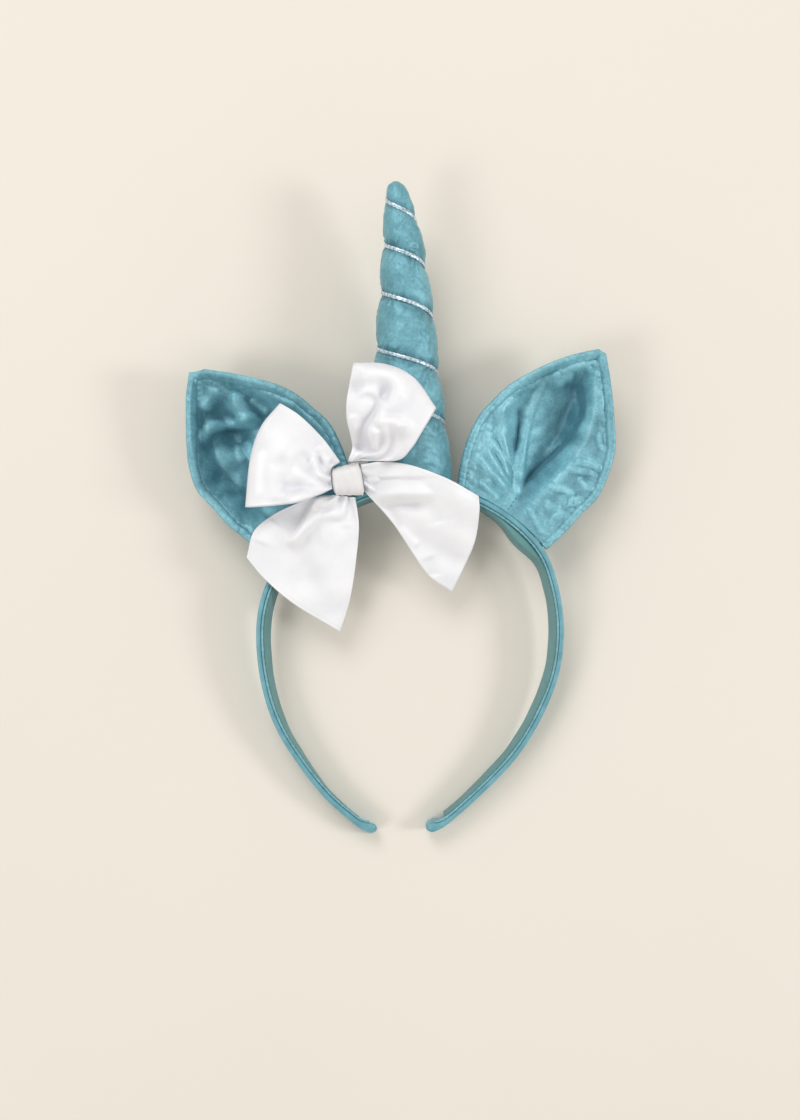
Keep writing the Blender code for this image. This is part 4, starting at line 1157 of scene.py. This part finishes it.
def add_ear(name, outline, relief, folds, lines, seed, material, node):
    table = np.array(outline)
    inner = table[:, 0:2]
    outer = table[:, 2:4]
    base = band_edge_between(inner[0], outer[0], EAR_BASE_POINTS)
    tip = np.array([inner[-1], (inner[-1] + outer[-1]) / 2.0, outer[-1]])
    along, across = [crowded_shares(count, EAR_CROWDING) for count in EAR_GRID]
    plan = patch_between(inner, outer, base, tip, along, across)
    along, across = np.meshgrid(along, across, indexing="ij")
    x = plan[:, :, 0]
    y = plan[:, :, 1]
    from_base = smooth_step(along * EAR_FOLD_FADES[0])
    from_tip = smooth_step((1.0 - along) * EAR_FOLD_FADES[1])
    inside = np.clip(np.sin(math.pi * across), 0.0, 1.0) * from_base * from_tip
    distance = distance_to_rim(plan)
    cloth = smooth_step((distance - RIM_WIDTH) / RIM_FADE_WIDTH) * smooth_step(along * EAR_BASE_FADE)
    front = ear_height(along, across, relief)
    front += fold_height(x, y, folds) * np.sqrt(inside)
    front += EAR_LINE_GAIN * line_relief(x, y, lines, EAR_LINE_HEIGHT, EAR_LINE_SPREAD) * cloth
    front += EAR_CRUMPLE * (crumple(x, y, EAR_CRUMPLE_SIZE, seed) - EAR_CRUMPLE_MEAN) * cloth
    front += EAR_SOFTNESS * soft_noise((x, y), EAR_SOFTNESS_SIZE, seed + 5) * cloth
    front += rim_relief(plan, distance)
    front = softer_maximum(front, EAR_THICKNESS, EAR_REST_SOFTNESS)
    grid = np.dstack([plan, front - EAR_THICKNESS / 2.0])
    half_wall = rounded_wall(distance, EAR_THICKNESS, EAR_EDGE_ROUNDING, EAR_EDGE_SHARE)
    ear = add_shell(name, grid, half_wall, material, node)
    # Painted shade in the ear's fold valleys, lighter on its crests
    keep_painted_shade(ear, painted_fold_shade(front, EAR_PAINTED_SHADE_DEPTH))
    top = grid + grid_normals(grid) * half_wall[:, :, None]
    return top, distance


# Line of the topstitching: up one side of the ear, round its tip and down the other side

def stitch_line(top, distance):
    rows, columns = distance.shape
    half = columns // 2
    inside = distance >= RIM_WIDTH
    last = rows - 1 - int(np.argmax(inside[::-1, half]))
    lines = range(STITCH_FIRST_ROW, last)
    up = [top[row, int(np.argmax(inside[row, :half]))] for row in lines if inside[row, :half].any()]
    over = [top[rows - 1 - int(np.argmax(inside[::-1, column])), column]
            for column in range(columns) if inside[last - 2, column]]
    down = [top[row, columns - 1 - int(np.argmax(inside[row, ::-1]))]
            for row in reversed(lines) if inside[row].any()]
    path = np.array(up + over + down)
    smooth = path.copy()
    smooth[2:-2] = (path[:-4] + path[1:-3] + path[2:-2] + path[3:-1] + path[4:]) / 5.0
    return smooth


# Stitches: short rounded bars that follow a line of points on the cloth

def add_stitches(name, path, material):
    walked = walked_along(path)
    points = []
    faces = []
    for begin in np.arange(0.5 * STITCH_PITCH, walked[-1] - STITCH_LENGTH, STITCH_PITCH):
        start, end = [np.array([np.interp(place, walked, path[:, axis]) for axis in range(3)])
                      for place in (begin, begin + STITCH_LENGTH)]
        forward = (end - start) / max(np.linalg.norm(end - start), SMALLEST)
        side = np.cross(forward, (0.0, 0.0, 1.0))
        side /= np.linalg.norm(side)
        lift = np.cross(side, forward)
        first = len(points)
        for share, size, rise in STITCH_RINGS:
            middle = start + (end - start) * share + lift * rise
            for turn in round_angles(STITCH_SIDES):
                off = side * math.cos(turn) + lift * math.sin(turn)
                points.append(middle + off * STITCH_RADIUS * size)
        faces.extend(tube_faces(len(STITCH_RINGS), STITCH_SIDES, first))
        last = len(points) - STITCH_SIDES
        faces.append(tuple(first + step for step in reversed(range(STITCH_SIDES))))
        faces.append(tuple(last + step for step in range(STITCH_SIDES)))
    return add_piece(name, points, faces, material)


# Short row of stitches that holds the dart at the foot of the right ear

def add_dart_stitches(top, material):
    flat = top.reshape(-1, 3)
    places = [from_photo(place, DART_HEIGHT) for place in DART_ENDS]
    path = []
    for share in np.linspace(0.0, 1.0, DART_POINTS):
        x = places[0][0] + (places[1][0] - places[0][0]) * share
        y = places[0][1] + (places[1][1] - places[0][1]) * share
        path.append(flat[np.argmin(np.hypot(flat[:, 0] - x, flat[:, 1] - y))])
    path = np.array(path)
    path[1:-1] = (path[:-2] + path[1:-1] + path[2:]) / 3.0
    return add_stitches("ear_right_dart_stitching", path, material)


# Lowest height for a ribbon that clears the horn at a place in the plan, zero beside the horn

def above_horn(x, y):
    distance = np.clip(y, HORN_ROWS[0][0], HORN_ROWS[-1][0])
    centre_x, centre_z = horn_axis(distance)
    radius = table_column(HORN_ROWS, 2, distance) + HORN_CLEARANCE
    square = radius ** 2 - (x - centre_x) ** 2
    top = centre_z + np.sqrt(np.clip(square, 0.0, None))
    behind = np.maximum(HORN_BACK_Y - HORN_BACK_FADE - y, 0.0)
    back = smooth_step((y - HORN_BACK_Y + HORN_BACK_FADE) / HORN_BACK_FADE)
    return np.where(square > 0.0, BAND_TOP + (top - BAND_TOP) * back - BAND_FALL * behind, 0.0)


# Woven edges of the ribbon: a fine ridge along each long side

def selvedge(distance):
    return SELVEDGE_RELIEF * bell(distance - SELVEDGE_WIDTH, SELVEDGE_SOFTNESS)


def side_distance(grid):
    first = np.linalg.norm(grid - grid[:, :1], axis=2)
    last = np.linalg.norm(grid - grid[:, -1:], axis=2)
    return np.minimum(first, last)


# Pleats gathered in the knot, and the finer fan of creases between them

def ribbon_pleats(x, y, across, fading, pleat_values, seed):
    height, fan_power, wander_share, wander_size = pleat_values
    wander = wander_share * soft_noise((x, y), wander_size, seed)
    pleats = height * np.cos(TURN * (PLEAT_WAVES * across + wander)) * fading
    fan = FAN_PLEAT_HEIGHT * np.cos(TURN * (FAN_PLEAT_WAVES * across + wander)) * fading ** fan_power
    return pleats, fan


def add_loop(name, side_a, side_b, root, fold, heights, folds, lines, line_height, seed, material, node):
    flat = np.linspace(0.0, LOOP_TURN_SHARE, LOOP_ROWS)
    turn = np.linspace(0.0, math.pi, LOOP_TURN_ROWS + 2)[1:-1]
    bend = LOOP_TURN_SHARE + (1.0 - LOOP_TURN_SHARE) * np.sin(turn)
    share = np.concatenate([flat, bend, flat[::-1]])
    facing = np.concatenate([np.ones(LOOP_ROWS), np.cos(turn), -np.ones(LOOP_ROWS)])
    across = crowded_shares(LOOP_GRID_COLUMNS, RIBBON_CROWDING)
    plan = patch_between(side_a, side_b, root, fold, share, across)
    x = plan[:, :, 0]
    y = plan[:, :, 1]
    reach = np.minimum(share, LOOP_TURN_SHARE)
    front = table_column(heights, 1, reach)[:, None]
    back = table_column(heights, 2, reach)[:, None]
    fading = (1.0 - smooth_step(share / LOOP_PLEAT_LENGTH))[:, None]
    pleats, fan = ribbon_pleats(x, y, across[None, :], fading, LOOP_PLEATS, seed)
    quiet = smooth_step((1.0 - share) / LOOP_QUIET_SHARE)[:, None]
    detail = RIBBON_LINE_GAIN * line_relief(x, y, lines, line_height, RIBBON_LINE_SPREAD) * quiet
    detail = detail + RIBBON_SOFTNESS * soft_noise((x, y), LOOP_SOFTNESS_SIZE, seed + 3)
    upper = front + pleats + fan + fold_height(x, y, folds) + detail
    lower = back + BACK_PLEAT_SHARE * pleats
    lower = softer_maximum(lower, above_horn(x, y), RIBBON_SOFT_MEETING)
    upper = softer_maximum(upper, lower + LOOP_OPENING, RIBBON_SOFT_MEETING)
    middle = (upper + lower) / 2.0
    half = (upper - lower) / 2.0
    grid = np.dstack([x, y, middle + half * facing[:, None]])
    distance = side_distance(grid)
    grid = grid + grid_normals(grid) * selvedge(distance)[:, :, None]
    wall = rounded_wall(distance, RIBBON_THICKNESS, RIBBON_EDGE_ROUNDING, RIBBON_EDGE_SHARE)
    loop = add_shell(name, grid, wall, material, node)
    # Painted shade in the loop's fold valleys, lighter on its crests
    keep_painted_shade(loop, painted_fold_shade(upper, RIBBON_PAINTED_SHADE_DEPTH))
    return loop


def add_tail(name, side_a, side_b, end, folds, lines, line_height, seed, material, node):
    root = (side_a[0], side_b[0])
    along, across = [crowded_shares(count, RIBBON_CROWDING) for count in TAIL_GRID]
    grid = patch_between(side_a, side_b, root, end, along, across)
    x = grid[:, :, 0]
    y = grid[:, :, 1]
    fading = 1.0 - smooth_step(along[:, None] / TAIL_PLEAT_LENGTH)
    pleats, fan = ribbon_pleats(x, y, across[None, :], fading, TAIL_PLEATS, seed)
    height = grid[:, :, 2] + pleats + fan + fold_height(x, y, folds)
    height = height + RIBBON_LINE_GAIN * line_relief(x, y, lines, line_height, RIBBON_LINE_SPREAD)
    height = height + RIBBON_SOFTNESS * soft_noise((x, y), TAIL_SOFTNESS_SIZE, seed + 3)
    grid[:, :, 2] = softer_maximum(height, above_horn(x, y), RIBBON_SOFT_MEETING)
    distance = side_distance(grid)
    hem = np.linalg.norm(grid - grid[-1:], axis=2)
    relief = selvedge(distance) + CUT_HEM_RELIEF * bell(hem - CUT_HEM_WIDTH, CUT_HEM_SOFTNESS)
    grid = grid + grid_normals(grid) * relief[:, :, None]
    to_edge = np.minimum(distance, hem)
    wall = rounded_wall(to_edge, RIBBON_THICKNESS, RIBBON_EDGE_ROUNDING, RIBBON_EDGE_SHARE)
    tail = add_shell(name, grid, wall, material, node)
    # Painted shade in the tail's fold valleys, lighter on its crests
    keep_painted_shade(tail, painted_fold_shade(grid[:, :, 2], RIBBON_PAINTED_SHADE_DEPTH))
    return tail


# Wrapped middle of the bow: a band of ribbon with raised edges and soft creases round it

def add_knot(material):
    rows, sides = KNOT_GRID
    share = crowded_shares(rows, KNOT_CROWDING)[:, None]
    angles = round_angles(sides)
    along = (share - 0.5) * KNOT_WIDTH * KNOT_SPREAD
    edge = np.minimum(share, 1.0 - share) * KNOT_WIDTH
    raised = KNOT_EDGE_HEIGHT * bell(edge - KNOT_EDGE_PLACE, KNOT_EDGE_WIDTH)
    crease = np.cos(TURN * (along / KNOT_CREASE_PITCH + KNOT_CREASE_WANDER * np.sin(2.0 * angles)))
    slant = KNOT_SLANT_SHARE * np.sin(KNOT_SLANT_WAVES * angles + KNOT_SLANT_TURN * share)
    relief = raised + KNOT_CREASE * (crease * smooth_step(edge / 2.0) + slant)
    y_reach = rounded(np.cos(angles), KNOT_SQUARENESS) * (table_column(KNOT_ROWS, 1, share) + relief)
    z_reach = rounded(np.sin(angles), KNOT_SQUARENESS) * (table_column(KNOT_ROWS, 2, share) + relief)
    x = KNOT_CENTRE[0] + along * math.cos(KNOT_TURN) - y_reach * math.sin(KNOT_TURN)
    y = KNOT_CENTRE[1] + along * math.sin(KNOT_TURN) + y_reach * math.cos(KNOT_TURN)
    z = KNOT_CENTRE[2] + z_reach
    knot = add_tube("bow_knot_wrap", np.dstack([x, y, z]), material, "bow_knot")
    return knot


# Node materials

def new_material(name):
    material = bpy.data.materials.new(name)
    material.use_nodes = True
    tree = material.node_tree
    return material, tree, tree.nodes["Principled BSDF"]


def set_sockets(node, values):
    for socket, value in values.items():
        node.inputs[socket].default_value = value


def add_node(tree, kind, values=None, **settings):
    node = tree.nodes.new(kind)
    for key, value in settings.items():
        setattr(node, key, value)
    set_sockets(node, values or {})
    return node


def noise_output(tree, scale, detail, roughness=0.5, stretch=(1.0, 1.0, 1.0)):
    place = add_node(tree, "ShaderNodeTexCoord")
    mapping = add_node(tree, "ShaderNodeMapping", {"Scale": stretch})
    tree.links.new(place.outputs["Object"], mapping.inputs["Vector"])
    noise = add_node(tree, "ShaderNodeTexNoise", {"Scale": scale, "Detail": detail, "Roughness": roughness})
    tree.links.new(mapping.outputs["Vector"], noise.inputs["Vector"])
    return noise.outputs["Fac"]


# Colour read off a ramp: places with their colours, which a factor runs through

def colour_ramp(tree, factor, stops):
    ramp = add_node(tree, "ShaderNodeValToRGB")
    elements = ramp.color_ramp.elements
    for element, (place, colour) in zip(elements, stops):
        element.position = place
        element.color = (*colour, 1.0)
    for place, colour in stops[2:]:
        elements.new(place).color = (*colour, 1.0)
    tree.links.new(factor, ramp.inputs["Fac"])
    return ramp.outputs["Color"]


def mixed_colour(tree, first, second, share):
    mix = add_node(tree, "ShaderNodeMix", data_type="RGBA", blend_type="MULTIPLY")
    mix.inputs["Factor"].default_value = share
    tree.links.new(first, mix.inputs["A"])
    tree.links.new(second, mix.inputs["B"])
    return mix.outputs["Result"]


def number_between(tree, factor, low, high):
    limits = {"From Min": NOISE_LOW, "From Max": NOISE_HIGH, "To Min": low, "To Max": high}
    spread = add_node(tree, "ShaderNodeMapRange", limits)
    tree.links.new(factor, spread.inputs["Value"])
    return spread.outputs["Result"]


def bump_chain(tree, layers):
    normal = None
    for height, strength, distance in layers:
        bump = add_node(tree, "ShaderNodeBump", {"Strength": strength, "Distance": distance})
        tree.links.new(height, bump.inputs["Height"])
        if normal:
            tree.links.new(normal, bump.inputs["Normal"])
        normal = bump.outputs["Normal"]
    return normal


# Satin: cloudy colour, fine floating threads, a soft sheen and uneven gloss, and painted shade in the fold
# valleys where a painted shade colour is given

def satin(name, dark, light, look, painted_valley_shade=None):
    material, tree, shader = new_material(name)
    cloud = noise_output(tree, look["cloud_scale"], *CLOUD_NOISE)
    grain = noise_output(tree, look["grain_scale"], *GRAIN_NOISE)
    threads = noise_output(tree, look["thread_scale"], FINE_DETAIL, stretch=look["thread_stretch"])
    base = colour_ramp(tree, cloud, ((CLOUD_LOW, dark), (CLOUD_HIGH, light)))
    fine = colour_ramp(tree, grain, ((NOISE_LOW, look["grain_dark"]), (NOISE_HIGH, WHITE)))
    colour = mixed_colour(tree, base, fine, look["grain_share"])
    if painted_valley_shade:
        # Painted shade: the kept share darkens the colour towards the painted shade colour in fold valleys
        folds = add_node(tree, "ShaderNodeAttribute", attribute_name="painted_fold_shade")
        depth = colour_ramp(tree, folds.outputs["Fac"], ((PAINTED_VALLEY_SHARE, painted_valley_shade), (PAINTED_HIGHLIGHT_SHARE, WHITE)))
        colour = mixed_colour(tree, colour, depth, 1.0)
    tree.links.new(colour, shader.inputs["Base Color"])
    tree.links.new(number_between(tree, cloud, *look["gloss"]), shader.inputs["Roughness"])
    normal = bump_chain(tree, (
        (cloud, look["cloud_bump"], CLOUD_DEPTH),
        (grain, look["grain_bump"], GRAIN_DEPTH),
        (threads, look["thread_bump"], THREAD_DEPTH),
    ))
    tree.links.new(normal, shader.inputs["Normal"])
    set_sockets(shader, {
        "Specular IOR Level": look["specular"],
        "Sheen Weight": look["sheen"],
        "Sheen Roughness": look["sheen_roughness"],
        "Anisotropic": look["anisotropic"],
        "Metallic": look["metallic"],
    })
    return material


def braid_material():
    material, tree, shader = new_material("silver_braid_strands")
    glint = noise_output(tree, BRAID_GLINT_SCALE, FINE_DETAIL)
    # Painted glints and painted shade: the glint noise sets the braid's colour
    tree.links.new(colour_ramp(tree, glint, BRAID_COLOURS), shader.inputs["Base Color"])
    tree.links.new(number_between(tree, glint, *BRAID_GLOSS), shader.inputs["Roughness"])
    tree.links.new(bump_chain(tree, ((glint, *BRAID_BUMP),)), shader.inputs["Normal"])
    set_sockets(shader, {"Metallic": 0.55, "Anisotropic": 0.3})
    return material


def table_material():
    material, tree, shader = new_material("pale_table")
    cloud = noise_output(tree, *TABLE_CLOUD_NOISE)
    colour = colour_ramp(tree, cloud, ((NOISE_LOW, TABLE_DARK), (NOISE_HIGH, TABLE_LIGHT)))
    tree.links.new(colour, shader.inputs["Base Color"])
    grain = noise_output(tree, TABLE_GRAIN_SCALE, FINE_DETAIL)
    tree.links.new(bump_chain(tree, ((grain, *TABLE_BUMP),)), shader.inputs["Normal"])
    set_sockets(shader, {"Roughness": 0.75, "Specular IOR Level": 0.2})
    return material


def add_table():
    half = TABLE_HALF * MM
    corners = [(-half, -half, 0.0), (half, -half, 0.0), (half, half, 0.0), (-half, half, 0.0)]
    mesh = bpy.data.meshes.new("table")
    mesh.from_pydata(corners, [], [(0, 1, 2, 3)])
    mesh.materials.append(table_material())
    new_object("table", mesh)


def add_light(name, place, size, power):
    data = bpy.data.lights.new(name, "AREA")
    data.shape = "DISK"
    data.size = size
    data.energy = power
    data.color = LIGHT_COLOUR
    light = new_object(name, data)
    light.location = place
    aim = Vector(LIGHT_AIM) - Vector(place)
    light.rotation_euler = aim.to_track_quat("-Z", "Y").to_euler()


def add_studio():
    for light in LIGHTS:
        add_light(*light)
    world = bpy.data.worlds.new("studio")
    world.use_nodes = True
    set_sockets(world.node_tree.nodes["Background"], {"Color": WORLD_COLOUR, "Strength": WORLD_STRENGTH})
    bpy.context.scene.world = world
    bpy.context.scene.view_settings.view_transform = "Standard"


def add_camera():
    data = bpy.data.cameras.new("camera")
    data.sensor_width = SENSOR
    data.lens = SENSOR * CAMERA_HEIGHT / (PHOTO_SIZE[1] * PHOTO_SCALE)
    camera = new_object("camera", data)
    place = np.array((*VIEW_CENTRE, CAMERA_HEIGHT)) + ORIGIN_SHIFT
    camera.location = tuple(place * MM)
    bpy.context.scene.camera = camera


def add_band_pieces():
    add_band(satin("satin_band_wrap", TEAL_DARK, TEAL_LIGHT, BAND_LOOK))
    # The seam has the band's satin in lighter teal: painted highlight
    add_band_seam(satin("satin_seam", SEAM_PAINTED_HIGHLIGHT_DARK, SEAM_PAINTED_HIGHLIGHT, SEAM_LOOK))
    cloth = satin("lining_cloth", LINING_DARK, LINING_LIGHT, LINING_LOOK)
    add_lining(cloth)


def add_horn_pieces():
    cloth = satin("satin_horn", HORN_DARK, HORN_LIGHT, HORN_LOOK, HORN_PAINTED_SHADE)
    add_horn(cloth)
    add_braid(braid_material())


def add_ear_pieces():
    cloth = satin("satin_ears", EAR_DARK, EAR_LIGHT, EAR_LOOK, EAR_PAINTED_SHADE)
    thread = satin("teal_thread", THREAD_DARK, THREAD_LIGHT, THREAD_LOOK)
    top, distance = add_ear("ear_left_cloth", LEFT_EAR_OUTLINE, LEFT_EAR_RELIEF, LEFT_EAR_FOLDS,
                            LEFT_EAR_LINES, LEFT_EAR_SEED, cloth, "ear_left")
    add_stitches("ear_left_stitching", stitch_line(top, distance), thread)
    top, distance = add_ear("ear_right_cloth", RIGHT_EAR_OUTLINE, RIGHT_EAR_RELIEF, RIGHT_EAR_FOLDS,
                            RIGHT_EAR_LINES, RIGHT_EAR_SEED, cloth, "ear_right")
    add_stitches("ear_right_stitching", stitch_line(top, distance), thread)
    add_dart_stitches(top, thread)


def add_bow_pieces():
    ribbon = satin("satin_ribbon", RIBBON_DARK, RIBBON_LIGHT, RIBBON_LOOK, RIBBON_PAINTED_SHADE)
    # The knot has the ribbon's satin in darker whites: painted shade
    add_knot(satin("satin_knot", KNOT_PAINTED_SHADE_DARK, KNOT_PAINTED_SHADE_LIGHT, RIBBON_LOOK))
    loop = add_loop("bow_loop_left_ribbon", LEFT_LOOP_SIDE_A, LEFT_LOOP_SIDE_B, LEFT_LOOP_ROOT,
                    LEFT_LOOP_FOLD, LEFT_LOOP_HEIGHTS, LEFT_LOOP_FOLDS, LEFT_LOOP_LINES,
                    LEFT_LOOP_LINE_HEIGHT, LEFT_LOOP_SEED, ribbon, "bow_loop_left")
    loop = add_loop("bow_loop_right_ribbon", RIGHT_LOOP_SIDE_A, RIGHT_LOOP_SIDE_B, RIGHT_LOOP_ROOT,
                    RIGHT_LOOP_FOLD, RIGHT_LOOP_HEIGHTS, RIGHT_LOOP_FOLDS, RIGHT_LOOP_LINES,
                    RIGHT_LOOP_LINE_HEIGHT, RIGHT_LOOP_SEED, ribbon, "bow_loop_right")
    tail = add_tail("bow_tail_left_ribbon", LEFT_TAIL_SIDE_A, LEFT_TAIL_SIDE_B, LEFT_TAIL_END,
                    LEFT_TAIL_FOLDS, LEFT_TAIL_LINES, LEFT_TAIL_LINE_HEIGHT, LEFT_TAIL_SEED, ribbon,
                    "bow_tail_left")
    tail = add_tail("bow_tail_right_ribbon", RIGHT_TAIL_SIDE_A, RIGHT_TAIL_SIDE_B, RIGHT_TAIL_END,
                    RIGHT_TAIL_FOLDS, RIGHT_TAIL_LINES, RIGHT_TAIL_LINE_HEIGHT, RIGHT_TAIL_SEED, ribbon,
                    "bow_tail_right")


add_band_pieces()
add_horn_pieces()
add_ear_pieces()
add_bow_pieces()
add_table()
add_studio()
add_camera()
